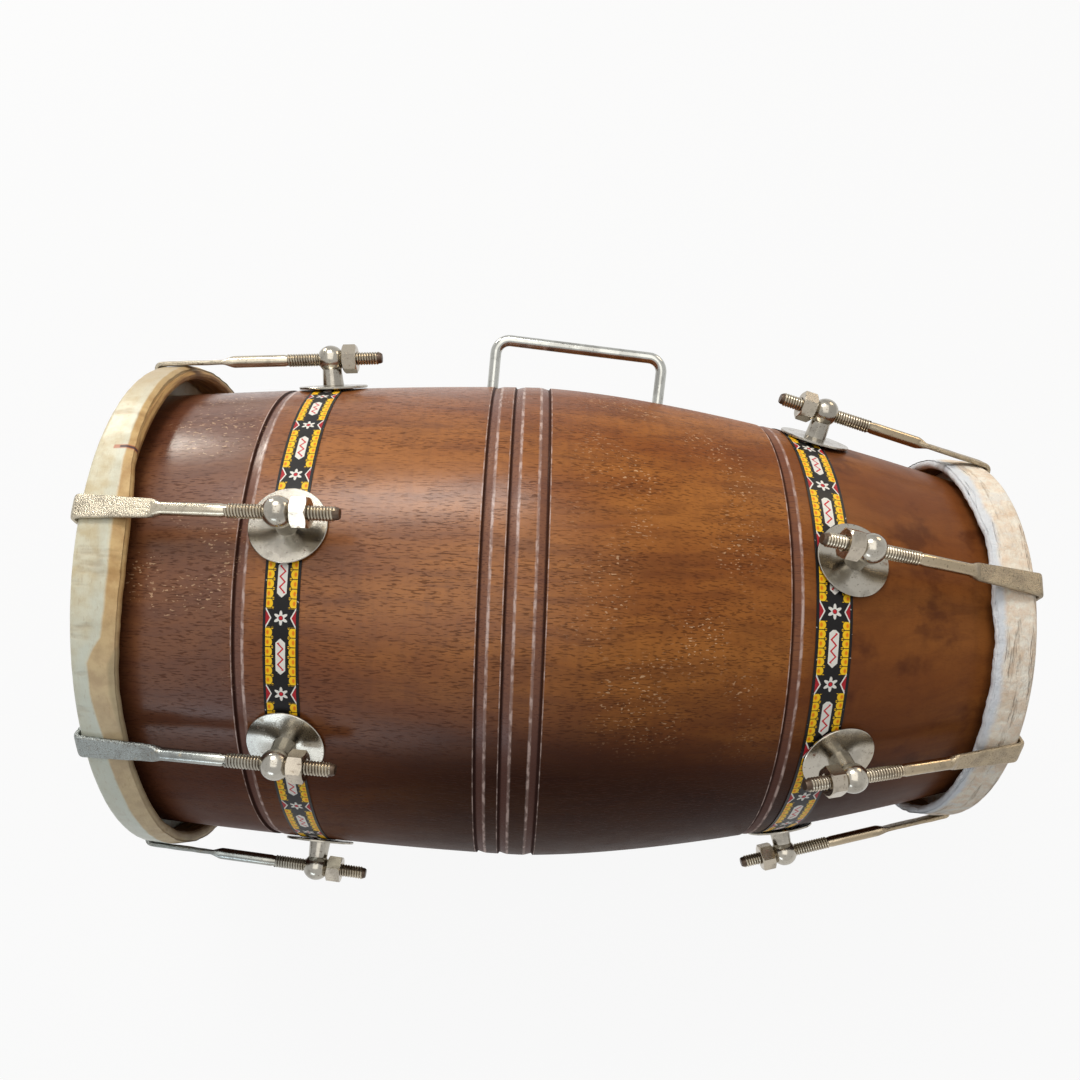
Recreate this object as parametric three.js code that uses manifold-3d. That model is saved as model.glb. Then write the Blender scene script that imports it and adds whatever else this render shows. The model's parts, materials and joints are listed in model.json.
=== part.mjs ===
// Dholak: a two-headed barrel drum with bolt-tuned heads, lying on its side as it rests on a table.
// Lengths are millimetres and angles degrees. The drum is built along X, bass head at -X and treble head
// at +X, then tilted so that its lowest tuning nuts at both ends touch the table, at Z = 0.

import * as THREE from "three";
import { mergeVertices } from "three/addons/utils/BufferGeometryUtils.js";
import Module from "manifold-3d";

const wasm = await Module();
wasm.setup();

// Clearances
const fitGap = 0.3;
const runningGap = 0.3;
const cutOverrun = 5;
const mergeTolerance = 1e-4;

// Shell, measured from the belly, the widest place, towards each rim
const bellyRadius = 139.2;
const bassLength = 216.8;
const bassRimDrop = 12.8;
const bassCurvePower = 1.5;
const trebleLength = 255;
const trebleRimDrop = 47.4;
const trebleCurvePower = 1.55;
const bellyWall = 14;
const rimWall = 11;
const rimChamfer = 3;
const roundSides = 32;
const outlineShares = [0.14, 0.32, 0.48, 0.72, 0.87];
const boreShares = [0.45, 0.8];

// Turned grooves, three by the belly and one at a distance in from each rim. A groove drops steeply on one
// side, -1 for the side nearer the bass head and 1 for the other, and its floor rises gently to the far side.
const grooveWidth = 5.4;
const grooveDepth = 1.1;
const grooveSteepShare = 0.18;
const middleGroovePlaces = [-22.7, -10.4, 4.2];
const middleGrooveSides = [-1, -1, 1];
const bassGrooveInset = 78.1;
const trebleGrooveInset = 126.6;
const headGrooveSide = -1;

// Decorative tapes
const bassTapeWidth = 17.2;
const trebleTapeWidth = 19;
const tapeThickness = 0.35;
const bassTapeInset = 99.3;
const trebleTapeInset = 107.6;

// Heads and the hoops they are lapped over: a hoop stands out round its rim, with its front set back from
// the rim's end. The bass hoop is pulled a little off the drum's axis towards one angle.
const hoopPullAngle = 159;
const bassSkinThickness = 1.6;
const bassHoopOverhang = 15.2;
const bassHoopSetback = 2.3;
const bassHoopPull = 1.6;
const bassHoopWidth = 21.7;
const bassHoopThickness = 4.2;
const trebleSkinThickness = 1.5;
const trebleHoopOverhang = 15;
const trebleHoopSetback = 1.4;
const trebleHoopWidth = 20.6;
const trebleHoopThickness = 3.2;
const hoopRound = 3;
const pasteRadius = 62;
const pasteThickness = 4;
const pasteEdge = 8;

// Tuning posts: a washer, a stem and a ball with a cross hole, held by a nut inside the shell
const postsPerHead = 7;
const bassPostInset = 99.7;
const treblePostInset = 100;
const postHeight = 16.4;
const ballRadius = 7.6;
const ballSides = 10;
const ballRings = 5;
const stemRadius = 5.25;
const stemSides = 8;
const studRadius = 4;
const washerRadius = 19.3;
const washerThickness = 1.3;
const washerSides = 16;
const innerWasherRadius = 10;
const innerNutFlats = 13;
const innerNutLength = 6;
const studSpare = 3;
const bassFirstPostAngle = 141.4;
const treblePhase = -3.7;

// How far each post is off its even place, in degrees round the shell and in length towards its head, and
// how far its rod turns about its ball towards the next higher post
const bassPostTurns = [0, -4.5, 0.5, 3, 0, 0, 0];
const bassPostShifts = [0, 0, 0, 0, 0, 0, 0];
const bassRodTurns = [0, 1.4, 0, 0, 0, 0, 0];
const treblePostTurns = [-2.3, -0.5, 0.5, -0.5, 0, 0, 0];
const treblePostShifts = [1.2, 2.3, 3.5, 0, 0, 0, 0];
const trebleRodTurns = [0, -3, 0, 0, 0, 0, 0];

// Tuning hooks: a rod, threaded at one end and forged into a flat hooked paddle at the other
const rodRadius = 3.25;
const threadRadius = 3.6;
const threadLength = 55;
const bassFreeLength = 29;
const trebleFreeLength = 26.5;
const paddleLength = 43;
const paddleThickness = 2.6;
const paddleNeckWidth = 9;
const paddleWidth = 12.2;
const neckLength = 5;
const bendRadius = 3;
const bendSteps = 3;
const lipLength = 9;
const rodSides = 8;

// Tuning nuts
const nutFlats = 14;
const nutLength = 8;
const nutBoreSides = 10;

// Carrying handle: a bent wire whose threaded ends pass through the shell into nuts. Its grip stands higher
// over the bass foot than over the treble foot.
const handleAngle = 149;
const handleBassFoot = -27;
const handleTrebleFoot = 70.5;
const handleBassHeight = 27.8;
const handleTrebleHeight = 26;
const handleWireRadius = 3.2;
const handleCornerRadius = 8;
const handleSteps = 30;
const handleSpare = 3;
const handleNutFlats = 11;
const handleNutLength = 5;
const handleWasherRadius = 10;
const handleWasherThickness = 1.2;

const degrees = THREE.MathUtils.degToRad;
const halfPi = Math.PI / 2;

// Materials, one for each mesh
const finishes = {
  wood: { color: 0x5a2f1c, roughness: 0.32, metalness: 0 },
  steel: { color: 0xb9b4aa, roughness: 0.24, metalness: 1 },
  plainSteel: { color: 0xa9a296, roughness: 0.42, metalness: 1 },
  goatskin: { color: 0xd6bd8e, roughness: 0.6, metalness: 0 },
  rawhide: { color: 0xcdc4b6, roughness: 0.75, metalness: 0 },
  cane: { color: 0xb0894f, roughness: 0.65, metalness: 0 },
  paste: { color: 0x1c1712, roughness: 0.85, metalness: 0 },
  tape: { color: 0xc58a1c, roughness: 0.45, metalness: 0 },
};

function namedMesh(name, geometry, finish) {
  const mesh = new THREE.Mesh(geometry, new THREE.MeshStandardMaterial(finishes[finish]));
  mesh.name = name;
  return mesh;
}

// Joins and cuts
function toSolid(geometry) {
  const bare = geometry.index ? geometry.toNonIndexed() : geometry.clone();
  bare.deleteAttribute("normal");
  bare.deleteAttribute("uv");
  const merged = mergeVertices(bare, mergeTolerance);
  return new wasm.Manifold(
    new wasm.Mesh({
      numProp: 3,
      vertProperties: merged.attributes.position.array,
      triVerts: new Uint32Array(merged.index.array),
    }),
  );
}

function toGeometry(solid) {
  const mesh = solid.getMesh();
  const geometry = new THREE.BufferGeometry();
  geometry.setAttribute("position", new THREE.BufferAttribute(mesh.vertProperties, 3));
  geometry.setIndex(new THREE.BufferAttribute(mesh.triVerts, 1));
  geometry.computeVertexNormals();
  return geometry;
}

// Shapes
// A ring or disc turned about X, from [along X, radius] points that run anticlockwise in that plane.
function turned(points, sides) {
  const outline = points.map(([along, radius]) => new THREE.Vector2(radius, along));
  const onAxis = points[0][1] === 0;
  if (!onAxis) outline.push(outline[0].clone());
  return new THREE.LatheGeometry(outline, sides).rotateZ(-halfPi);
}

// A straight bar of regular section along X, from one place to another.
function barAlongX(radius, from, to, sides) {
  return new THREE.CylinderGeometry(radius, radius, to - from, sides)
    .rotateZ(-halfPi)
    .translate((from + to) / 2, 0, 0);
}

// The same bar along Z.
function barAlongZ(radius, from, to, sides) {
  return new THREE.CylinderGeometry(radius, radius, to - from, sides)
    .rotateX(halfPi)
    .translate(0, 0, (from + to) / 2);
}

// A hexagonal nut along X from 0 towards -X, with a clear round bore.
function nutGeometry(flats, length, boreRadius) {
  const corner = flats / 2 / Math.cos(Math.PI / 6);
  const body = toSolid(barAlongX(corner, -length, 0, 6));
  const bore = barAlongX(boreRadius, -length - cutOverrun, cutOverrun, nutBoreSides);
  return toGeometry(body.subtract(toSolid(bore)));
}

// The radius of a polygon's corners whose flats clear a given radius.
const clearOf = (radius, sides) => radius / Math.cos(Math.PI / sides);

// Shell outline
const bassRimRadius = bellyRadius - bassRimDrop;
const trebleRimRadius = bellyRadius - trebleRimDrop;

const bassSide = {
  name: "bass",
  side: -1,
  length: bassLength,
  rimRadius: bassRimRadius,
  curvePower: bassCurvePower,
  skinThickness: bassSkinThickness,
  skinFinish: "goatskin",
  hoopRadius: bassRimRadius + bassHoopOverhang,
  hoopFront: bassLength - bassHoopSetback,
  hoopPull: bassHoopPull,
  hoopWidth: bassHoopWidth,
  hoopThickness: bassHoopThickness,
  groovePlace: bassLength - bassGrooveInset,
  tapePlace: bassLength - bassTapeInset,
  tapeWidth: bassTapeWidth,
  postPlace: bassLength - bassPostInset,
  freeLength: bassFreeLength,
  firstPostAngle: bassFirstPostAngle,
  postTurns: bassPostTurns,
  postShifts: bassPostShifts,
  rodTurns: bassRodTurns,
};

const trebleSide = {
  name: "treble",
  side: 1,
  length: trebleLength,
  rimRadius: trebleRimRadius,
  curvePower: trebleCurvePower,
  skinThickness: trebleSkinThickness,
  skinFinish: "rawhide",
  hoopRadius: trebleRimRadius + trebleHoopOverhang,
  hoopFront: trebleLength - trebleHoopSetback,
  hoopPull: 0,
  hoopWidth: trebleHoopWidth,
  hoopThickness: trebleHoopThickness,
  groovePlace: trebleLength - trebleGrooveInset,
  tapePlace: trebleLength - trebleTapeInset,
  tapeWidth: trebleTapeWidth,
  postPlace: trebleLength - treblePostInset,
  freeLength: trebleFreeLength,
  firstPostAngle: bassFirstPostAngle + treblePhase,
  postTurns: treblePostTurns,
  postShifts: treblePostShifts,
  rodTurns: trebleRodTurns,
};

const heads = [bassSide, trebleSide];
const headAt = (x) => (x < 0 ? bassSide : trebleSide);

function shellRadius(x) {
  const head = headAt(x);
  const share = Math.abs(x) / head.length;
  return bellyRadius - (bellyRadius - head.rimRadius) * share ** head.curvePower;
}

function wallAt(x) {
  const share = Math.abs(x) / headAt(x).length;
  return bellyWall + (rimWall - bellyWall) * share;
}

function boreAt(x) {
  const head = headAt(x);
  return Math.abs(x) < head.length ? shellRadius(x) - wallAt(x) : head.rimRadius - rimWall;
}

// How fast the shell narrows towards a head, and the lean that this gives to what stands square on it.
function leanAt(head, place) {
  const drop = bellyRadius - head.rimRadius;
  const slope = (drop * head.curvePower * (place / head.length) ** (head.curvePower - 1)) / head.length;
  return Math.atan(slope);
}

function groovePoints({ place, steep }) {
  const steepEdge = place + (steep * grooveWidth) / 2;
  const gentleEdge = place - (steep * grooveWidth) / 2;
  const floor = steepEdge - steep * grooveWidth * grooveSteepShare;
  return [
    [steepEdge, shellRadius(steepEdge)],
    [floor, shellRadius(floor) - grooveDepth],
    [gentleEdge, shellRadius(gentleEdge)],
  ];
}

function shellOutline() {
  const middleGrooves = middleGrooveSides.map((steep, index) => {
    return { place: middleGroovePlaces[index], steep };
  });
  const headGrooves = heads.map((head) => ({ place: head.side * head.groovePlace, steep: headGrooveSide }));
  const grooves = [...middleGrooves, ...headGrooves];
  const plain = heads.flatMap((head) => outlineShares.map((share) => head.side * head.length * share));
  const outer = [...plain.map((x) => [x, shellRadius(x)]), ...grooves.flatMap(groovePoints)];
  const rims = heads.flatMap((head) => [
    [head.side * (head.length - rimChamfer), head.rimRadius],
    [head.side * head.length, head.rimRadius - rimChamfer],
  ]);
  const byPlace = (a, b) => a[0] - b[0] || (a[0] < 0 ? a[1] - b[1] : b[1] - a[1]);
  const outside = [...outer, ...rims].sort(byPlace);
  return [...boreStations.toReversed(), ...outside];
}

// The lugs of one head, each with its angle round the drum, its post's place and its rod's swing.
function lugsOf(head) {
  return Array.from({ length: postsPerHead }, (_, index) => ({
    angle: head.firstPostAngle - (360 / postsPerHead) * index + (head.postTurns[index] ?? 0),
    place: head.postPlace + (head.postShifts[index] ?? 0),
    swing: degrees(head.rodTurns[index] ?? 0),
  }));
}

// Post, rod and hoop geometry of one lug, in the plane of its post: X runs from the belly to the head and
// Z away from the drum's axis. The rod swings out of that plane about the ball.
function lugLayout(head, { angle, place, swing }) {
  const lean = leanAt(head, place);
  const surface = shellRadius(head.side * place);
  const ball = { x: place + postHeight * Math.sin(lean), z: surface + postHeight * Math.cos(lean) };
  const hoopRadius = head.hoopRadius + head.hoopPull * Math.cos(degrees(angle - hoopPullAngle));
  const run = head.hoopFront - hoopRound - ball.x;
  const fall = ball.z - hoopRadius;
  const reach = Math.hypot(run, fall);
  const paddleOffset = paddleThickness / 2 + fitGap;
  const slope = Math.atan2(fall, run) - Math.asin(paddleOffset / reach);
  const cornerLead = (paddleWidth / 2) * Math.abs(Math.sin(swing));
  const lipPlace = head.hoopFront + fitGap + cornerLead + paddleThickness / 2;
  const bendPlace = (lipPlace - ball.x) / (Math.cos(slope) * Math.cos(swing));
  return { lean, surface, ball, slope, bendPlace };
}

const crossHoleRadius = clearOf(threadRadius + runningGap, ballSides);
const nutSeat = Math.sqrt(ballRadius ** 2 - (threadRadius + runningGap) ** 2) + fitGap;
const nutBoreRadius = clearOf(threadRadius + runningGap, nutBoreSides);
const studHoleRadius = clearOf(studRadius + fitGap, stemSides);
const tapeTop = fitGap + tapeThickness;

// The bore follows straight lines between its turned stations.
const boreStations = heads
  .flatMap((head) => [...boreShares, 1].map((share) => head.side * head.length * share))
  .concat(0)
  .sort((a, b) => a - b)
  .map((x) => [x, boreAt(x)]);

function boreRadius(x) {
  const next = boreStations.findIndex(([place]) => place >= x);
  const [before, after] = [boreStations[next - 1], boreStations[next]];
  const share = (x - before[0]) / (after[0] - before[0]);
  return before[1] + (after[1] - before[1]) * share;
}

// How far inside the shell's outer surface a flat washer seats in the faceted bore, along a stud that
// leans towards the head.
function innerSeat(x, lean, washer) {
  const side = Math.sign(x) || 1;
  const depths = [-washer, 0, washer].map((offset) => {
    const place = x + side * (offset * Math.cos(lean) - wallAt(x) * Math.sin(lean));
    const flats = boreRadius(place) * Math.cos(Math.PI / roundSides);
    return shellRadius(x) - offset * Math.sin(lean) - Math.sqrt(flats ** 2 - washer ** 2);
  });
  return Math.max(...depths) / Math.cos(lean) + fitGap;
}

// Tuning post in its own frame: the shell's outer surface is at Z = 0 and the post stands along Z.
function postGeometry(head, lug) {
  const { lean, slope } = lugLayout(head, lug);
  const washerBottom = tapeTop + fitGap;
  const seat = innerSeat(head.side * lug.place, lean, innerWasherRadius);
  const seatBottom = -seat - washerThickness;
  const nutBottom = seatBottom - innerNutLength;
  const ball = new THREE.SphereGeometry(ballRadius, ballSides, ballRings).rotateX(halfPi);
  const pieces = [
    barAlongZ(stemRadius, washerBottom, postHeight, stemSides),
    barAlongZ(washerRadius, washerBottom, washerBottom + washerThickness, washerSides),
    barAlongZ(studRadius, nutBottom - studSpare, washerBottom + washerThickness, stemSides),
    barAlongZ(innerWasherRadius, seatBottom, -seat, stemSides),
    barAlongZ(clearOf(innerNutFlats / 2, 6), nutBottom, seatBottom + washerThickness / 2, 6),
    ball.translate(0, 0, postHeight),
  ];
  const joined = pieces.map(toSolid).reduce((whole, piece) => whole.add(piece));
  const crossHole = barAlongX(crossHoleRadius, -ballRadius - cutOverrun, ballRadius + cutOverrun, ballSides)
    .rotateZ(head.side * lug.swing)
    .rotateY(slope - lean)
    .translate(0, 0, postHeight);
  return toGeometry(joined.subtract(toSolid(crossHole)));
}

// A forged bar: a cylinder whose rings are moved to stations along a path and given their own section.
// A station holds its place { x, z }, its heading below X, and half its width and thickness.
function forgedBar(stations) {
  const sections = stations.length - 1;
  const bar = new THREE.CylinderGeometry(1, 1, sections, rodSides, sections);
  const bevelShare = 1 - Math.tan(Math.PI / rodSides);
  const place = bar.attributes.position;
  const turn = Math.PI / rodSides;
  for (let i = 0; i < place.count; i += 1) {
    const station = stations[Math.round(sections / 2 - place.getY(i))];
    const onRim = Math.hypot(place.getX(i), place.getZ(i)) > 0.5;
    const angle = Math.atan2(place.getX(i), place.getZ(i)) + turn;
    const bevel = bevelShare * Math.min(station.halfWidth, station.halfThickness);
    const wide = Math.abs(Math.cos(angle)) > Math.abs(Math.sin(angle));
    const across = Math.sign(Math.cos(angle)) * (station.halfWidth - (wide ? 0 : bevel));
    const up = Math.sign(Math.sin(angle)) * (station.halfThickness - (wide ? bevel : 0));
    const y = onRim ? across : 0;
    const lift = onRim ? up : 0;
    place.setXYZ(
      i,
      station.x + lift * Math.sin(station.heading),
      y,
      station.z + lift * Math.cos(station.heading),
    );
  }
  return bar;
}

// Tuning hook in its own frame: the rod runs along X through the ball's centre, at the origin.
function hookGeometry(head, lug) {
  const { slope, bendPlace } = lugLayout(head, lug);
  const bendAngle = halfPi - slope;
  const tangent = bendRadius * Math.tan(bendAngle / 2);
  const bendStart = bendPlace - tangent;
  const neckStart = bendPlace - paddleLength;
  const threadEnd = threadLength - head.freeLength;
  const round = (x, radius) => ({ x, z: 0, heading: 0, halfWidth: radius, halfThickness: radius });
  const flat = (x, z, heading, width) => ({
    x,
    z,
    heading,
    halfWidth: width / 2,
    halfThickness: paddleThickness / 2,
  });
  const stations = [
    round(-head.freeLength, threadRadius * Math.cos(Math.PI / rodSides)),
    round(threadEnd, threadRadius * Math.cos(Math.PI / rodSides)),
    round(threadEnd + threadRadius - rodRadius, rodRadius),
    round(neckStart, rodRadius),
    flat(neckStart + neckLength, 0, 0, paddleNeckWidth),
  ];
  for (let step = 0; step <= bendSteps; step += 1) {
    const heading = (bendAngle * step) / bendSteps;
    const x = bendStart + bendRadius * Math.sin(heading);
    const z = bendRadius * (Math.cos(heading) - 1);
    stations.push(flat(x, z, heading, paddleWidth));
  }
  const bendEnd = stations.at(-1);
  const lipRun = lipLength - tangent;
  const lipEnd = [
    bendEnd.x + lipRun * Math.cos(bendAngle),
    bendEnd.z - lipRun * Math.sin(bendAngle),
  ];
  stations.push(flat(...lipEnd, bendAngle, paddleWidth));
  return forgedBar(stations.reverse());
}

// Head skin: a flat membrane whose edge is lapped round the front, outside and back of its hoop.
function skinGeometry(head) {
  const { length, rimRadius, skinThickness, hoopRadius, hoopFront, hoopWidth, hoopThickness } = head;
  const inner = length + fitGap;
  const outer = inner + skinThickness;
  const rimEdge = rimRadius - rimChamfer;
  const lipSpan = hoopRadius - lipLength - fitGap;
  const back = hoopFront - hoopWidth;
  const lapDepth = skinThickness + fitGap + hoopThickness;
  const points = [
    [outer, 0],
    [outer, rimEdge],
    [hoopFront, lipSpan],
    [hoopFront, hoopRadius - hoopRound],
    [hoopFront - hoopRound, hoopRadius],
    [back, hoopRadius],
    [back, hoopRadius - lapDepth],
    [back + skinThickness, hoopRadius - lapDepth],
    [back + skinThickness, hoopRadius - skinThickness],
    [hoopFront - hoopRound, hoopRadius - skinThickness],
    [hoopFront - skinThickness, hoopRadius - hoopRound],
    [hoopFront - skinThickness, lipSpan],
    [inner, rimEdge],
    [inner, 0],
  ];
  return pulled(head, turned(facing(head, points), roundSides));
}

function hoopGeometry(head) {
  const { skinThickness, hoopRadius, hoopFront, hoopWidth, hoopThickness } = head;
  const front = hoopFront - skinThickness - fitGap;
  const back = hoopFront - hoopWidth + skinThickness + fitGap;
  const outer = hoopRadius - skinThickness - fitGap;
  const bevel = hoopRound - skinThickness;
  const points = [
    [front, outer - hoopThickness],
    [front, outer - bevel],
    [front - bevel, outer],
    [back, outer],
    [back, outer - hoopThickness],
  ];
  return pulled(head, turned(facing(head, points), roundSides));
}

// Moves a head's hoop, or the lap of its skin, off the axis, while the membrane stays where it is.
function pulled(head, geometry) {
  const points = geometry.attributes.position;
  const rimEdge = head.rimRadius - rimChamfer;
  const lapEdge = head.hoopRadius - lipLength - fitGap;
  const towards = degrees(hoopPullAngle);
  for (let i = 0; i < points.count; i += 1) {
    const radius = Math.hypot(points.getY(i), points.getZ(i));
    const pull = head.hoopPull * THREE.MathUtils.clamp((radius - rimEdge) / (lapEdge - rimEdge), 0, 1);
    points.setY(i, points.getY(i) - pull * Math.cos(towards));
    points.setZ(i, points.getZ(i) + pull * Math.sin(towards));
  }
  return geometry;
}

// Mirrors an outline drawn for the treble end to a head's own end, and keeps its faces outwards.
function facing(head, points) {
  if (head.side > 0) return points.toReversed();
  return points.map(([along, radius]) => [-along, radius]);
}

function pasteGeometry() {
  const top = bassLength;
  const bottom = top - pasteThickness;
  const points = [
    [top, 0],
    [top, pasteRadius],
    [bottom, pasteRadius - pasteEdge],
    [bottom, 0],
  ];
  return turned(facing(bassSide, points), roundSides);
}

// A cutter for the stud holes of one head's posts, in the drum's frame.
function studHoles(head) {
  return lugsOf(head).map((lug) => {
    const { lean, surface } = lugLayout(head, lug);
    const hole = barAlongZ(studHoleRadius, -bellyWall - cutOverrun, cutOverrun, stemSides);
    hole.rotateY(lean).translate(lug.place, 0, surface);
    return toSolid(placeRound(hole, head, lug.angle));
  });
}

const roundTurn = (head, angle) => new THREE.Euler(halfPi - degrees(angle), 0, head.side < 0 ? Math.PI : 0);

function placeRound(geometry, head, angle) {
  return geometry.applyMatrix4(new THREE.Matrix4().makeRotationFromEuler(roundTurn(head, angle)));
}

// Handle frame: X runs along the chord between the feet, Z away from the shell, origin midway on it.
const handleSpan = Math.hypot(
  handleTrebleFoot - handleBassFoot,
  shellRadius(handleTrebleFoot) - shellRadius(handleBassFoot),
);
const handleLean = Math.atan2(
  shellRadius(handleBassFoot) - shellRadius(handleTrebleFoot),
  handleTrebleFoot - handleBassFoot,
);
const handleMiddle = {
  x: (handleBassFoot + handleTrebleFoot) / 2,
  z: (shellRadius(handleBassFoot) + shellRadius(handleTrebleFoot)) / 2,
};
const handleHoleRadius = clearOf(handleWireRadius + fitGap, rodSides);
const handleFeet = [
  { name: "bass_side", foot: handleBassFoot, x: -handleSpan / 2 },
  { name: "treble_side", foot: handleTrebleFoot, x: handleSpan / 2 },
];
const handleSeat = (foot) => innerSeat(foot, Math.sign(foot) * handleLean, handleWasherRadius);
const handleDepth =
  Math.max(...handleFeet.map(({ foot }) => handleSeat(foot))) +
  handleWasherThickness +
  fitGap +
  handleNutLength +
  handleSpare;

function handleGeometry() {
  const path = new THREE.CurvePath();
  const half = handleSpan / 2;
  const inset = half - handleCornerRadius;
  const rise = (handleTrebleHeight - handleBassHeight) / handleSpan;
  const gripHeight = (x) => handleBassHeight + rise * (x + half);
  const at = (x, z) => new THREE.Vector3(x, 0, z);
  const grip = (x) => at(x, gripHeight(x));
  const leg = (x) => at(x, gripHeight(x) - handleCornerRadius);
  const straight = (...ends) => path.add(new THREE.LineCurve3(...ends));
  const corner = (...points) => path.add(new THREE.QuadraticBezierCurve3(...points));
  straight(at(-half, -handleDepth), leg(-half));
  corner(leg(-half), grip(-half), grip(-inset));
  straight(grip(-inset), grip(inset));
  corner(grip(inset), grip(half), leg(half));
  straight(leg(half), at(half, -handleDepth));
  const section = new THREE.Shape();
  for (let edge = 0; edge < rodSides; edge += 1) {
    const angle = (2 * Math.PI * edge) / rodSides;
    const point = [handleWireRadius * Math.cos(angle), handleWireRadius * Math.sin(angle)];
    if (edge === 0) section.moveTo(...point);
    else section.lineTo(...point);
  }
  return new THREE.ExtrudeGeometry(section, { steps: handleSteps, extrudePath: path, bevelEnabled: false });
}

function handleHoles() {
  return handleFeet.map(({ x }) => {
    const hole = barAlongZ(handleHoleRadius, -bellyWall - cutOverrun, cutOverrun, rodSides);
    hole.translate(x, 0, 0).rotateY(handleLean).translate(handleMiddle.x, 0, handleMiddle.z);
    return toSolid(placeRound(hole, trebleSide, handleAngle));
  });
}

function shellGeometry() {
  const holes = [...heads.flatMap(studHoles), ...handleHoles()];
  const blank = toSolid(turned(shellOutline(), roundSides));
  return toGeometry(holes.reduce((whole, hole) => whole.subtract(hole), blank));
}

function tapeGeometry(head) {
  const near = head.tapePlace - head.tapeWidth / 2;
  const far = head.tapePlace + head.tapeWidth / 2;
  const radiusAt = (place) => shellRadius(head.side * place) + fitGap;
  const points = [
    [far, radiusAt(far)],
    [far, radiusAt(far) + tapeThickness],
    [near, radiusAt(near) + tapeThickness],
    [near, radiusAt(near)],
  ];
  const blank = toSolid(turned(facing(head, points), roundSides));
  return toGeometry(studHoles(head).reduce((whole, hole) => whole.subtract(hole), blank));
}

// Sub-assemblies
function addHead(drum, head) {
  drum.add(namedMesh(`${head.name}_skin`, skinGeometry(head), head.skinFinish));
  drum.add(namedMesh(`${head.name}_flesh_hoop`, hoopGeometry(head), "cane"));
  drum.add(namedMesh(`${head.name}_tape`, tapeGeometry(head), "tape"));
}

function addTuning(drum, head) {
  const nut = nutGeometry(nutFlats, nutLength, nutBoreRadius);
  lugsOf(head).forEach((lug, index) => {
    const { lean, surface, ball, slope } = lugLayout(head, lug);
    const number = index + 1;
    const group = new THREE.Group();
    group.rotation.copy(roundTurn(head, lug.angle));
    const standing = namedMesh(`${head.name}_post_${number}`, postGeometry(head, lug), "steel");
    standing.position.set(lug.place, 0, surface);
    standing.rotation.y = lean;
    const rod = new THREE.Group();
    rod.position.set(ball.x, 0, ball.z);
    rod.rotation.set(0, slope, head.side * lug.swing);
    const turningNut = namedMesh(`${head.name}_nut_${number}`, nut, "steel");
    turningNut.position.x = -nutSeat;
    rod.add(namedMesh(`${head.name}_hook_${number}`, hookGeometry(head, lug), "plainSteel"), turningNut);
    group.add(standing, rod);
    drum.add(group);
  });
}

function addHandle(drum) {
  const turn = new THREE.Group();
  turn.rotation.copy(roundTurn(trebleSide, handleAngle));
  const handle = new THREE.Group();
  handle.position.set(handleMiddle.x, 0, handleMiddle.z);
  handle.rotation.y = handleLean;
  handle.add(namedMesh("carry_handle", handleGeometry(), "steel"));
  const nut = nutGeometry(handleNutFlats, handleNutLength, handleHoleRadius).rotateY(-halfPi);
  const ring = toSolid(barAlongZ(handleWasherRadius, -handleWasherThickness, 0, stemSides));
  const hole = barAlongZ(handleHoleRadius, -cutOverrun, cutOverrun, rodSides);
  const washer = toGeometry(ring.subtract(toSolid(hole)));
  handleFeet.forEach(({ name, foot, x }) => {
    const seat = -handleSeat(foot);
    const seatedWasher = namedMesh(`handle_washer_${name}`, washer, "plainSteel");
    seatedWasher.position.set(x, 0, seat);
    const seatedNut = namedMesh(`handle_nut_${name}`, nut, "plainSteel");
    seatedNut.position.set(x, 0, seat - handleWasherThickness - fitGap);
    handle.add(seatedWasher, seatedNut);
  });
  turn.add(handle);
  drum.add(turn);
}

// Resting pose: the lowest tuning nut at each end, in the drum's own frame.
function lowestNut(head) {
  const nuts = lugsOf(head).map((lug) => {
    const { ball, slope } = lugLayout(head, lug);
    const middle = nutSeat + nutLength / 2;
    const radius = ball.z + middle * Math.sin(slope);
    const drop = radius * Math.cos(degrees(lug.angle) + halfPi) + clearOf(nutFlats / 2, 6);
    return { x: head.side * (ball.x - middle * Math.cos(slope)), drop };
  });
  return nuts.reduce((lowest, nut) => (nut.drop > lowest.drop ? nut : lowest));
}

function restTilt() {
  const [bass, treble] = heads.map(lowestNut);
  return Math.atan2(bass.drop - treble.drop, treble.x - bass.x);
}

const drum = new THREE.Group();
drum.add(namedMesh("shell", shellGeometry(), "wood"));
heads.forEach((head) => addHead(drum, head));
drum.add(namedMesh("bass_tuning_paste", pasteGeometry(), "paste"));
heads.forEach((head) => addTuning(drum, head));
addHandle(drum);
drum.rotation.y = restTilt();

const dholak = new THREE.Group();
dholak.add(drum);
dholak.updateMatrixWorld(true);
const box = new THREE.Box3().setFromObject(dholak, true);
drum.position.set(-(box.min.x + box.max.x) / 2, -(box.min.y + box.max.y) / 2, -box.min.z);

export default dholak;
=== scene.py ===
"""Dholak: a two-headed barrel drum with bolt-tuned heads, resting on its side on a pale floor.

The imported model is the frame. Each piece is drawn in the drum's own frame, with X along its axis, the bass
head at -X and the treble head at +X, and is then set down where the frame's mounts and joints say. Sizes
are metres and angles degrees, unless a name says otherwise.
"""

import json
import logging
import math
import random
from dataclasses import dataclass, field
from enum import Enum
from typing import Any, Callable, Iterator, Sequence, Union

import bmesh
import bpy
from mathutils import Matrix, Vector, noise


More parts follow.
